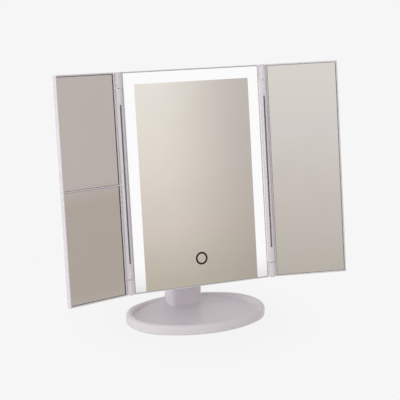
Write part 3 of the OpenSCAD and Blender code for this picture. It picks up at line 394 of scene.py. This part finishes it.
rim_r = RIM_W / 2
rim_z = BASE_H - rim_r
hollow_z = min(rim_z, FLOOR_Z - HOLLOW_BELOW_FLOOR)
cove_r = (COVE_W**2 + (rim_z - FLOOR_Z) ** 2) / (2 * (rim_z - FLOOR_Z))
cove_start = math.degrees(math.atan2(rim_z - FLOOR_Z - cove_r, -COVE_W)) % 360
outline = (
    [(ring, FLOOR_Z) for ring in FLOOR_RINGS]
    + arc((RIM_W + COVE_W, FLOOR_Z + cove_r), cove_r, 270, cove_start, COVE_STEPS)
    + arc((rim_r, rim_z), rim_r, 0, 180, RIM_STEPS)[1:]
    + arc((EDGE_R, EDGE_Z + EDGE_R), EDGE_R, 180, 270, EDGE_STEPS)
    + [(WALL, EDGE_Z), (WALL, hollow_z), (RIM_W - WALL, hollow_z), (RIM_W - WALL, FLOOR_Z - FLOOR_T)]
    + [(FLOOR_RINGS[0], FLOOR_Z - FLOOR_T)]
)
points = [(x * MM, 0, z * MM) for x, z in outline]
profile_mesh = bpy.data.meshes.new("tray_profile")
profile_mesh.from_pydata(points, [(i, i + 1) for i in range(len(points) - 1)], [])
side_r = (BASE_L**2 / 4 - BASE_L * END_R + BASE_W**2 / 4) / (BASE_W - 2 * END_R)
end_x, side_y = BASE_L / 2 - END_R, side_r - BASE_W / 2
seam = end_x / math.hypot(end_x, side_y)
tray = grown("oval_tray", profile_mesh, tray_tree(), {
    "Steps": TRAY_STEPS, "End arc centre": end_x * MM, "End arc radius": END_R * MM, "Side arc centre": side_y * MM,
    "Side arc radius": side_r * MM, "Seam": seam, "Material": satin_abs})


def slope_mesh():
    """Behind the neck's front the floor rises in one plane to the rim: a wedge that is joined to the tray."""
    rim_line = []
    for step in range(TRAY_STEPS + 1):
        across, deep = math.cos(math.pi * step / TRAY_STEPS), math.sin(math.pi * step / TRAY_STEPS)
        if abs(across) > seam:
            spot = (math.copysign(end_x, across) + across * (END_R - rim_r), deep * (END_R - rim_r))
        else:
            spot = (across * (side_r - rim_r), deep * (side_r - rim_r) - side_y)
        if spot[1] > SLOPE_FOOT:
            rim_line.append(spot)
    (x0, y0), (x1, y1) = rim_line[0], rim_line[1]
    foot_x = x0 + (x0 - x1) * (y0 - SLOPE_FOOT) / (y1 - y0)
    line = [(foot_x, SLOPE_FOOT)] + rim_line + [(-foot_x, SLOPE_FOOT)]
    rise = (BASE_H - SLOPE_DROP - FLOOR_Z) / (BASE_W / 2 - rim_r - SLOPE_FOOT)
    wedge = bmesh.new()
    low = [wedge.verts.new((x * MM, y * MM, (FLOOR_Z - SLOPE_ROOT) * MM)) for x, y in line]
    high = [wedge.verts.new((x * MM, y * MM, (FLOOR_Z + rise * (y - SLOPE_FOOT)) * MM)) for x, y in line]
    wedge.faces.new(high)
    wedge.faces.new(low[::-1])
    for a, b, c, d in zip(low, low[1:] + low[:1], high[1:] + high[:1], high):
        wedge.faces.new((a, b, c, d))
    bmesh.ops.recalc_face_normals(wedge, faces=wedge.faces)
    mesh = bpy.data.meshes.new("back_slope")
    wedge.to_mesh(mesh)
    wedge.free()
    return mesh


form = bmesh.new()
form.from_mesh(tray.data)
bmesh.ops.remove_doubles(form, verts=form.verts, dist=WELD)
bmesh.ops.holes_fill(form, edges=[e for e in form.edges if e.is_boundary], sides=0)
bmesh.ops.recalc_face_normals(form, faces=form.faces)
form.to_mesh(tray.data)
form.free()
wedge = piece("back_slope", slope_mesh())
joined = tray.modifiers.new("back slope", "BOOLEAN")
joined.operation, joined.solver, joined.object = "UNION", "EXACT", wedge
evaluated(tray)
bpy.data.objects.remove(wedge)
tray.data.materials.clear()
tray.data.materials.append(satin_abs)
tray.data.shade_smooth()
tray.data.set_sharp_from_angle(angle=math.radians(TRAY_CREASE))
stands_for(tray, "white_plastic", "base_tray")


# ---------- cross-recess screws ----------
# One tree makes every screw: a domed head with a cross cut into it, and its shank.
def screw_tree():
    """Stands one screw on each point of the seed mesh, its head's top at the point."""
    tree, given, out = geometry_tree("cross recess screws", [
        ("Head radius", "NodeSocketFloat", 0.002), ("Head height", "NodeSocketFloat", 0.001),
        ("Shank radius", "NodeSocketFloat", 0.001), ("Shank length", "NodeSocketFloat", 0.01),
        ("Turn", "NodeSocketVector", None), ("Material", "NodeSocketMaterial", None)])
    ball = add(tree, "GeometryNodeMeshUVSphere", {"Segments": 36, "Rings": 16, "Radius": 1.0})
    dome = add(tree, "GeometryNodeTransform", {"Geometry": ball.outputs["Mesh"], "Translation": (0, 0, -1)})
    keep = add(tree, "GeometryNodeTransform", {
        "Geometry": add(tree, "GeometryNodeMeshCube", {"Size": (2.4, 2.4, 1.0)}).outputs["Mesh"],
        "Translation": (0, 0, -0.5)})
    head = add(tree, "GeometryNodeMeshBoolean", {
        "Mesh 2": [dome.outputs[0], keep.outputs[0]]}, operation="INTERSECT", solver="EXACT")
    bars = [add(tree, "GeometryNodeMeshCube", {"Size": size}).outputs["Mesh"]
            for size in ((1.1, 0.26, 1.1), (0.26, 1.1, 1.1))]
    cut = add(tree, "GeometryNodeMeshBoolean", {
        "Mesh 1": head.outputs["Mesh"], "Mesh 2": bars}, operation="DIFFERENCE", solver="EXACT")
    scale = add(tree, "ShaderNodeCombineXYZ", {
        "X": given["Head radius"], "Y": given["Head radius"], "Z": given["Head height"]})
    sized = add(tree, "GeometryNodeTransform", {"Geometry": cut.outputs["Mesh"], "Scale": scale.outputs[0]})
    rod = add(tree, "GeometryNodeMeshCylinder", {
        "Vertices": 24, "Radius": given["Shank radius"], "Depth": given["Shank length"]})
    drop = add(tree, "ShaderNodeMath", {0: add(tree, "ShaderNodeMath", {
        0: given["Shank length"], 1: -0.5}, operation="MULTIPLY").outputs[0],
        1: given["Head height"]}, operation="SUBTRACT").outputs[0]
    shank = add(tree, "GeometryNodeTransform", {
        "Geometry": rod.outputs["Mesh"], "Translation": add(tree, "ShaderNodeCombineXYZ", {"Z": drop}).outputs[0]})
    screw = add(tree, "GeometryNodeJoinGeometry", {"Geometry": [sized.outputs[0], shank.outputs[0]]})
    rows = add(tree, "GeometryNodeInstanceOnPoints", {
        "Points": given["Geometry"], "Instance": screw.outputs[0], "Rotation": given["Turn"]})
    real = add(tree, "GeometryNodeRealizeInstances", {"Geometry": rows.outputs[0]})
    coated = add(tree, "GeometryNodeSetMaterial", {"Geometry": real.outputs[0], "Material": given["Material"]})
    tree.links.new(coated.outputs[0], out["Geometry"])
    return tree


def loose_parts(node, into):
    """Low and high corners, in millimetres of the frame `into`, of each separate solid in a CAD node."""
    form = welded(node)
    form.transform(into.inverted())
    left, boxes = set(form.verts), []
    while left:
        reach, part = [left.pop()], []
        while reach:
            v = reach.pop()
            part.append(v.co / MM)
            for e in v.link_edges:
                other = e.other_vert(v)
                if other in left:
                    left.remove(other)
                    reach.append(other)
        boxes.append([[f(p[i] for p in part) for i in range(3)] for f in (min, max)])
    form.free()
    return boxes


SCREWS = screw_tree()
SCREW_CREASE = 35  # degrees


def screws(node, where, facing, head_h, shank_r):
    """Stands cross-recess screws on a CAD node's own, which face along this axis and way of `where`."""
    axis, way = "XYZ".index(facing[1]), 1 if facing[0] == "+" else -1
    points, length, radius = [], 0, 0
    for low, high in loose_parts(node, where):
        spot = [(a + b) / 2 for a, b in zip(low, high)]
        spot[axis] = high[axis] if way > 0 else low[axis]
        length = high[axis] - low[axis] - head_h
        radius = (high[axis - 1] - low[axis - 1]) / 2
        points.append(where @ (Vector(spot) * MM))
    seed = bpy.data.meshes.new(node)
    seed.from_pydata(points, [], [])
    axis_in_place = Vector([way if i == axis else 0 for i in range(3)])
    turn = (where.to_3x3() @ axis_in_place).to_track_quat("Z", "Y").to_euler()
    made = grown(node.replace("screws", "cross_screws"), seed, SCREWS, {
        "Head radius": radius * MM, "Head height": head_h * MM, "Shank radius": shank_r * MM,
        "Shank length": length * MM, "Turn": tuple(turn), "Material": zinc})
    made.data.shade_smooth()
    made.data.set_sharp_from_angle(angle=math.radians(SCREW_CREASE))
    return stands_for(made, "steel", node)


UPRIGHT = Matrix.Identity(4)
for node, where, facing, head_h, shank_r in (
    ("bracket_screws", HEAD, "+Y", 1.6, 1.6),
    ("housing_screws", HEAD, "+Y", 1.1, 1.1),
    ("chassis_screws", HEAD, "+Y", 1.0, 0.9),
    ("board_screws", HEAD, "+Y", 0.9, 0.8),
    ("base_screws", UPRIGHT, "-Z", 0.8, 1.1),
    ("neck_screws", UPRIGHT, "-Z", 1.6, 1.3),
):
    screws(node, where, facing, head_h, shank_r)


# ---------- glass ----------
ARRIS = 0.25  # width of the ground slope
# The third material is the backing paint, also used as painted shade in a pane's front border
SILVER, GROUND, BACKING_AND_SHADE, FROST = range(4)  # a pane's materials


def pane(name, node, where, low, high, depth, shade_edging, cuts, coat_of):
    """A sheet of glass that stands for a CAD node, with a narrow ground slope round its front edge.

    Its front faces are split at the cuts, so that each gets its own coat: coat_of is told a face's
    middle. The edging widths are how far the silver stops short of the inner, outer, lower and upper edges; that
    border shows the dark backing as painted shade for the shaded gap between glass and rim."""
    inside = [low[0] + shade_edging[0], high[0] - shade_edging[1], low[1] + shade_edging[2], high[1] - shade_edging[3]]
    columns = [sorted({low[k], high[k], *inside[2 * k : 2 * k + 2], *cuts[k]}) for k in (0, 1)]
    inner = [[min(max(v, low[k] + ARRIS), high[k] - ARRIS) for v in columns[k]] for k in (0, 1)]
    form = bmesh.new()
    wide, tall = len(columns[0]), len(columns[1])
    front, middle, back = (
        [[form.verts.new((x * MM, y * MM, z * MM)) for z in grid[1]] for x in grid[0]]
        for grid, y in ((inner, depth[0]), (columns, depth[0] + ARRIS), (columns, depth[1])))
    for i in range(wide - 1):
        for j in range(tall - 1):
            x, z = sum(columns[0][i : i + 2]) / 2, sum(columns[1][j : j + 2]) / 2
            # Outside the silvered area the front shows the dark backing: painted shade for the gap round the glass
            in_shade_border = not (inside[0] < x < inside[1] and inside[2] < z < inside[3])
            face = form.faces.new([front[i][j], front[i + 1][j], front[i + 1][j + 1], front[i][j + 1]])
            face.material_index = BACKING_AND_SHADE if in_shade_border else coat_of(x, z)
            form.faces.new([back[i][j], back[i][j + 1], back[i + 1][j + 1], back[i + 1][j]]).material_index = BACKING_AND_SHADE
    ring = (
        [(i, 0) for i in range(wide - 1)] + [(wide - 1, j) for j in range(tall - 1)]
        + [(i, tall - 1) for i in range(wide - 1, 0, -1)] + [(0, j) for j in range(tall - 1, 0, -1)]
    )
    for (i, j), (m, n) in zip(ring, ring[1:] + ring[:1]):
        for a, b in ((front, middle), (middle, back)):
            form.faces.new([a[i][j], b[i][j], b[m][n], a[m][n]]).material_index = GROUND
    bmesh.ops.delete(form, geom=[v for v in form.verts if not v.link_faces], context="VERTS")
    bmesh.ops.recalc_face_normals(form, faces=form.faces)
    mesh = bpy.data.meshes.new(name)
    form.to_mesh(mesh)
    form.free()
    made = piece(name, mesh, where)
    for coat in (silvered, glass_edge, backing_paint_and_edge_shade, lit_frost):
        made.data.materials.append(coat)
    return stands_for(made, "mirror_glass", node)


band_x, band_z = GLASS_W / 2 - BAND_W, GLASS_H - BAND_W
pane("centre_mirror", "centre_glass", HEAD, (-GLASS_W / 2, 0), (GLASS_W / 2, GLASS_H), (0, GLASS_T), (0, 0, 0, 0),
     ((-band_x, band_x), (band_z,)), lambda x, z: FROST if abs(x) > band_x or z > band_z else SILVER)
# The wings' edging widths set a border of painted shade where the glass meets the rim's shaded gap
for name, node, where, shade_edging in (
    ("upper_left_mirror", "left_upper_mirror", LEFT_WING, (1.5, 0.3, 0, 0.6)),
    ("lower_left_mirror", "left_lower_mirror", LEFT_WING, (1.6, 0.3, 0.5, 0)),
    ("right_wing_mirror", "right_mirror", RIGHT_WING, (0.3, 0.5, 0, 0.2)),
):
    (low, high), = loose_parts(node, where)
    pane(name, node, where, (low[0], low[2]), (high[0], high[2]), (low[1], high[1]), shade_edging, ((), ()),
         lambda x, z: SILVER)


# Printed touch ring: an inked annulus that stands a little proud of the glass
RING_OUTER, RING_INNER, INK_THICK = 7.35, 5.2, 0.02


def ring_mesh(outer, inner, thick, steps=96):
    """A flat ring round the Y axis whose back lies at y = 0."""
    form = bmesh.new()
    rims = []
    for radius, y in ((inner, -thick), (outer, -thick), (outer, 0), (inner, 0)):
        rims.append([form.verts.new((radius * math.cos(t) * MM, y * MM, radius * math.sin(t) * MM))
                     for t in (math.tau * i / steps for i in range(steps))])
    for a, b in zip(rims, rims[1:] + rims[:1]):
        for i in range(steps):
            form.faces.new([a[i], a[(i + 1) % steps], b[(i + 1) % steps], b[i]])
    bmesh.ops.recalc_face_normals(form, faces=form.faces)
    mesh = bpy.data.meshes.new("touch_ring")
    form.to_mesh(mesh)
    form.free()
    return mesh


touch_ring = piece("touch_ring", ring_mesh(RING_OUTER, RING_INNER, INK_THICK), place(HEAD, (0, 0, TOUCH_UP)))
touch_ring.data.materials.append(ring_ink)
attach(touch_ring, "head")

# Contact tongue in the power inlet; its root is this far in from the mouth
TONGUE_SIZE, TONGUE_ROOT, TONGUE_ROUND = (4.2, 0.7, 5.4), 5, 0.12
(low, high), = loose_parts("usb_socket", HEAD)
form = bmesh.new()
bmesh.ops.create_cube(form, size=1)
middle = [(a + b) / 2 for a, b in zip(low, high)]
bmesh.ops.transform(form, verts=form.verts, matrix=Matrix.Diagonal([v * MM for v in TONGUE_SIZE] + [1]))
bmesh.ops.bevel(form, geom=form.edges[:], offset=TONGUE_ROUND * MM, segments=2, affect="EDGES", profile=0.5)
mesh = bpy.data.meshes.new("inlet_tongue")
form.to_mesh(mesh)
form.free()
tongue = piece("inlet_tongue", mesh, place(
    HEAD, (high[0] - TONGUE_ROOT + TONGUE_SIZE[0] / 2, middle[1], middle[2])))
tongue.data.materials.append(black_nylon)
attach(tongue, "head")

# ---------- mouldings with rounded edges ----------
# CAD node, radius of its edges, coat, slot, name
for node, radius, coat, slot_name, name in (
    ("front_frame", 0.25, satin_abs, "white_plastic", "centre_bezel"),
    ("rear_housing", 0.45, grained_abs, "white_plastic", "back_shell"),
    ("battery_door", 0.2, grained_abs, "white_plastic", "ridged_battery_door"),
    ("left_wing_frame", 0.25, satin_abs, "white_plastic", "left_wing_bezel"),
    ("right_wing_frame", 0.25, satin_abs, "white_plastic", "right_wing_bezel"),
    ("left_wing_back", 0.25, grained_abs, "white_plastic", "left_wing_cover"),
    ("right_wing_back", 0.25, grained_abs, "white_plastic", "right_wing_cover"),
    ("neck_shell", 0.5, satin_abs, "white_plastic", "neck_column"),
    ("neck_plug", 0.3, satin_abs, "white_plastic", "neck_cover"),
    ("tilt_bracket", 0.4, satin_abs, "white_plastic", "tilt_yoke"),
    ("tilt_caps", 0.3, satin_abs, "white_plastic", "pivot_caps"),
    ("base_cover", 0.2, grained_abs, "white_plastic", "bottom_plate"),
    ("base_pad", 0.25, rubber, "rubber_pad", "rubber_foot"),
    ("power_slider", 0.15, black_nylon, "black_plastic", "ridged_slider"),
):
    softened(node, radius, coat, slot_name, name)

# The long groove in each wing's barrel gets the painted shade, darker than its outside
GROOVE_SLACK = 0.1
for name, where in (("left_wing_bezel", LEFT_WING), ("right_wing_bezel", RIGHT_WING)):
    data = bpy.data.objects[name].data
    data.materials.append(groove_shade_grey)
    to_hinge = where.inverted()
    for face in data.polygons:
        spot = to_hinge @ face.center / MM
        inside = math.hypot(spot.x, spot.y) < BARREL_R - 2 * GROOVE_SLACK
        if inside and abs(spot.z - GLASS_H / 2) < GROOVE_LEN / 2 + GROOVE_SLACK:
            face.material_index = 1

# ---------- CAD nodes that keep their shape ----------
for coat, names in (
    (plate, ["base_weight"]),
    (zinc, ["tilt_shaft", "friction_washers", "tilt_nut", "usb_socket"]),
    # The hinge pins are darkened as painted shade for the barrel joints
    (pin_shade_steel, ["left_hinge_pins", "right_hinge_pins"]),
    (foam, ["glass_tapes", "left_wing_tapes", "right_wing_tapes"]),
    (opal, ["light_diffuser"]),
    (plain_abs, ["mirror_backing", "chassis_plate"]),
    (board, ["led_board_left", "led_board_top", "led_board_right", "control_board"]),
    (phosphor, ["led_lamps"]),
    (black_nylon, ["touch_pad", "board_parts", "switch_body"]),
    (nickel, ["touch_spring", "battery_springs", "battery_contacts"]),
    (sleeve, ["battery_cells"]),
    (red_pvc, ["battery_leads"]),
    (white_pvc, ["led_leads"]),
):
    for name in names:
        data = nodes[name].data
        data.materials.clear()
        data.materials.append(coat)

# ---------- floor ----------
FLOOR_HEX = "#F6F6F6"
FLOOR_HALF, FLOOR_BELOW = 3.0, 0.0001  # metres
SHADOW_FULL, SHADOW_END = 0.08, 0.16  # metres from the middle
SHADOW_SHARE = 0.06
corners = [(x * FLOOR_HALF, y * FLOOR_HALF, -FLOOR_BELOW) for x, y in ((-1, -1), (1, -1), (1, 1), (-1, 1))]
floor_mesh = bpy.data.meshes.new("floor")
floor_mesh.from_pydata(corners, [], [(0, 1, 2, 3)])
floor = piece("floor", floor_mesh)
# Pale studio paper. What the camera sees is mostly the paper's own even tone, with a share of the object's
# soft shadow close to it. Other rays meet plain matt paper, and mirrors look through it to the studio below.
paper = bpy.data.materials.new("studio_paper")
paper.use_nodes = True
tree = paper.node_tree
tree.nodes.clear()
at = add(tree, "ShaderNodeTexCoord").outputs["Object"]
away = add(tree, "ShaderNodeVectorMath", {0: at}, operation="LENGTH").outputs["Value"]
near = add(tree, "ShaderNodeMapRange", {
    "Value": away, "From Min": SHADOW_FULL, "From Max": SHADOW_END, "To Min": SHADOW_SHARE, "To Max": 0.0},
    interpolation_type="SMOOTHSTEP")
even = add(tree, "ShaderNodeEmission", {"Color": colour(FLOOR_HEX), "Strength": 1.0})
matt = add(tree, "ShaderNodeBsdfDiffuse", {"Color": colour("#F2F2F2")})
seen = add(tree, "ShaderNodeMixShader", {0: near.outputs["Result"], 1: even.outputs[0], 2: matt.outputs[0]})
path = add(tree, "ShaderNodeLightPath").outputs
straight = add(tree, "ShaderNodeMath", {
    0: path["Is Camera Ray"], 1: path["Is Transmission Ray"]}, operation="MAXIMUM").outputs[0]
lit = add(tree, "ShaderNodeMixShader", {0: straight, 1: matt.outputs[0], 2: seen.outputs[0]})
gone = add(tree, "ShaderNodeBsdfTransparent")
shown = add(tree, "ShaderNodeMixShader", {0: path["Is Glossy Ray"], 1: lit.outputs[0], 2: gone.outputs[0]})
add(tree, "ShaderNodeOutputMaterial", {"Surface": shown.outputs[0]})
floor.data.materials.append(paper)

# ---------- world ----------
# The camera sees the pale background. Gloss and mirrors see a plain studio: a tall pale screen in front,
# brighter towards its top and ending at 25 degrees to the right, a dimmer wall beyond it, pale paper below
# and behind.
world = bpy.data.worlds.new("studio")
bpy.context.scene.world = world
world.use_nodes = True
tree = world.node_tree
tree.nodes.clear()
way = add(tree, "ShaderNodeSeparateXYZ", {"Vector": add(tree, "ShaderNodeTexCoord").outputs["Generated"]}).outputs
rise = add(tree, "ShaderNodeMath", {0: way["Z"]}, operation="ARCSINE").outputs[0]
front = add(tree, "ShaderNodeMath", {0: way["Y"], 1: -1.0}, operation="MULTIPLY").outputs[0]
bearing = add(tree, "ShaderNodeMath", {0: way["X"], 1: front}, operation="ARCTAN2").outputs[0]
SKY_LOW, SKY_HIGH = -10, 14  # degrees above the horizon between which the tones change
level = add(tree, "ShaderNodeMapRange", {
    "Value": rise, "From Min": math.radians(SKY_LOW), "From Max": math.radians(SKY_HIGH)}).outputs["Result"]
sky = {}
for name, stops in (
    ("screen", ((-10, "#D6D1CB"), (-4, "#ADA69A"), (0, "#B9B2A5"), (2.4, "#D0C7BF"), (5, "#DCD6CE"), (9, "#E6E2DA"))),
    ("wall", ((-10, "#D6D1CB"), (-4, "#A8A198"), (0, "#ABA49B"), (2.4, "#B6ADA4"), (5, "#BCB5AE"), (14, "#C4BEB8"))),
    ("left", ((-10, "#D6D1CB"), (-4, "#ADA59B"), (1, "#B9B3AB"), (4, "#C5BEB8"), (7, "#D1CCC8"), (12, "#DCD7D2"))),
    ("flank", ((-10, "#D6D1CB"), (-5, "#ACA39B"), (-1.2, "#ADA49C"), (-0.3, "#B9B0AC"), (14, "#BDB5B1"))),
):
    heights = [((up - SKY_LOW) / (SKY_HIGH - SKY_LOW), code) for up, code in stops]
    sky[name] = add(tree, "ShaderNodeValToRGB", {"Fac": level}, heights).outputs[0]

# From the screen to each other tone, between two bearings in degrees to the right of straight ahead
front_view = sky["screen"]
for name, start, end in (("left", 19, 0), ("wall", 22.2, 27.2), ("flank", 30, 58)):
    share = add(tree, "ShaderNodeMapRange", {
        "Value": bearing, "From Min": math.radians(start), "From Max": math.radians(end)},
        interpolation_type="SMOOTHSTEP")
    front_view = add(tree, "ShaderNodeMix", {
        0: share.outputs[0], 6: front_view, 7: sky[name]}, data_type="RGBA").outputs[2]
behind = add(tree, "ShaderNodeMapRange", {
    "Value": way["Y"], "From Min": 0.0, "From Max": 0.35}, interpolation_type="SMOOTHSTEP")
room = add(tree, "ShaderNodeMix", {
    0: behind.outputs[0], 6: front_view, 7: colour("#E6E4E2")}, data_type="RGBA").outputs[2]
path = add(tree, "ShaderNodeLightPath").outputs
straight = add(tree, "ShaderNodeMath", {
    0: path["Is Camera Ray"], 1: path["Is Transmission Ray"]}, operation="MAXIMUM").outputs[0]
seen = add(tree, "ShaderNodeBackground", {"Color": colour(FLOOR_HEX), "Strength": 1.0})
mirrored = add(tree, "ShaderNodeBackground", {"Color": room, "Strength": 1.11})
fill = add(tree, "ShaderNodeBackground", {"Color": colour("#F4F4F8"), "Strength": 0.62})
first = add(tree, "ShaderNodeMixShader", {0: path["Is Glossy Ray"], 1: fill.outputs[0], 2: mirrored.outputs[0]})
both = add(tree, "ShaderNodeMixShader", {0: straight, 1: first.outputs[0], 2: seen.outputs[0]})
add(tree, "ShaderNodeOutputWorld", {"Surface": both.outputs[0]})

# ---------- lamps ----------
# Square soft boxes: name, spot and aim in metres, side in metres, watts. No mirror shows them: the screens are
# what mirrors see.
for name, spot, aim, size, power in (
    ("key_softbox", (-1.9, -1.0, 0.75), (0, 0, 0.1), 1.0, 12),
    ("low_left_fill", (-1.6, 0.1, 0.3), (0, 0, 0.02), 0.5, 3),
    ("low_front_fill", (-0.6, -1.7, 0.12), (0, 0, 0.04), 0.4, 2.1),
    ("right_fill", (1.5, -0.5, 0.9), (0, 0, 0.03), 0.9, 1.6),
):
    light = bpy.data.lights.new(name, "AREA")
    light.shape = "SQUARE"
    light.size = size
    light.energy = power
    lamp = bpy.data.objects.new(name, light)
    bpy.context.scene.collection.objects.link(lamp)
    lamp.visible_glossy = False
    spot, aim = Vector(spot), Vector(aim)
    lamp.matrix_world = Matrix.Translation(spot) @ (spot - aim).to_track_quat("Z", "Y").to_matrix().to_4x4()

# ---------- camera ----------
# Fitted to the photograph: 25 degrees to the left, looking 15 degrees down, rolled by one
azimuth, elevation, roll = (math.radians(v) for v in (-24.95, 14.77, 1.04))
DISTANCE = 1.4524  # metres
AIM = (2.35, 0, 141.74)
FOCAL_PIXELS, PICTURE_PIXELS = 1277.6, 400
SENSOR = 36
level_part = math.cos(elevation)
back = Vector((math.sin(azimuth) * level_part, -math.cos(azimuth) * level_part, math.sin(elevation)))
right = Vector((math.cos(azimuth), math.sin(azimuth), 0))
up = back.cross(right)
right, up = right * math.cos(roll) + up * math.sin(roll), up * math.cos(roll) - right * math.sin(roll)
spot = Vector(AIM) * MM + back * DISTANCE
lens = bpy.data.cameras.new("camera")
lens.sensor_width = SENSOR
lens.lens = FOCAL_PIXELS * SENSOR / PICTURE_PIXELS
lens.clip_start = 0.05
camera = bpy.data.objects.new("camera", lens)
bpy.context.scene.collection.objects.link(camera)
camera.matrix_world = Matrix((
    (right.x, up.x, back.x, spot.x), (right.y, up.y, back.y, spot.y), (right.z, up.z, back.z, spot.z), (0, 0, 0, 1)))
bpy.context.scene.camera = camera
bpy.context.scene.view_settings.view_transform = "Standard"
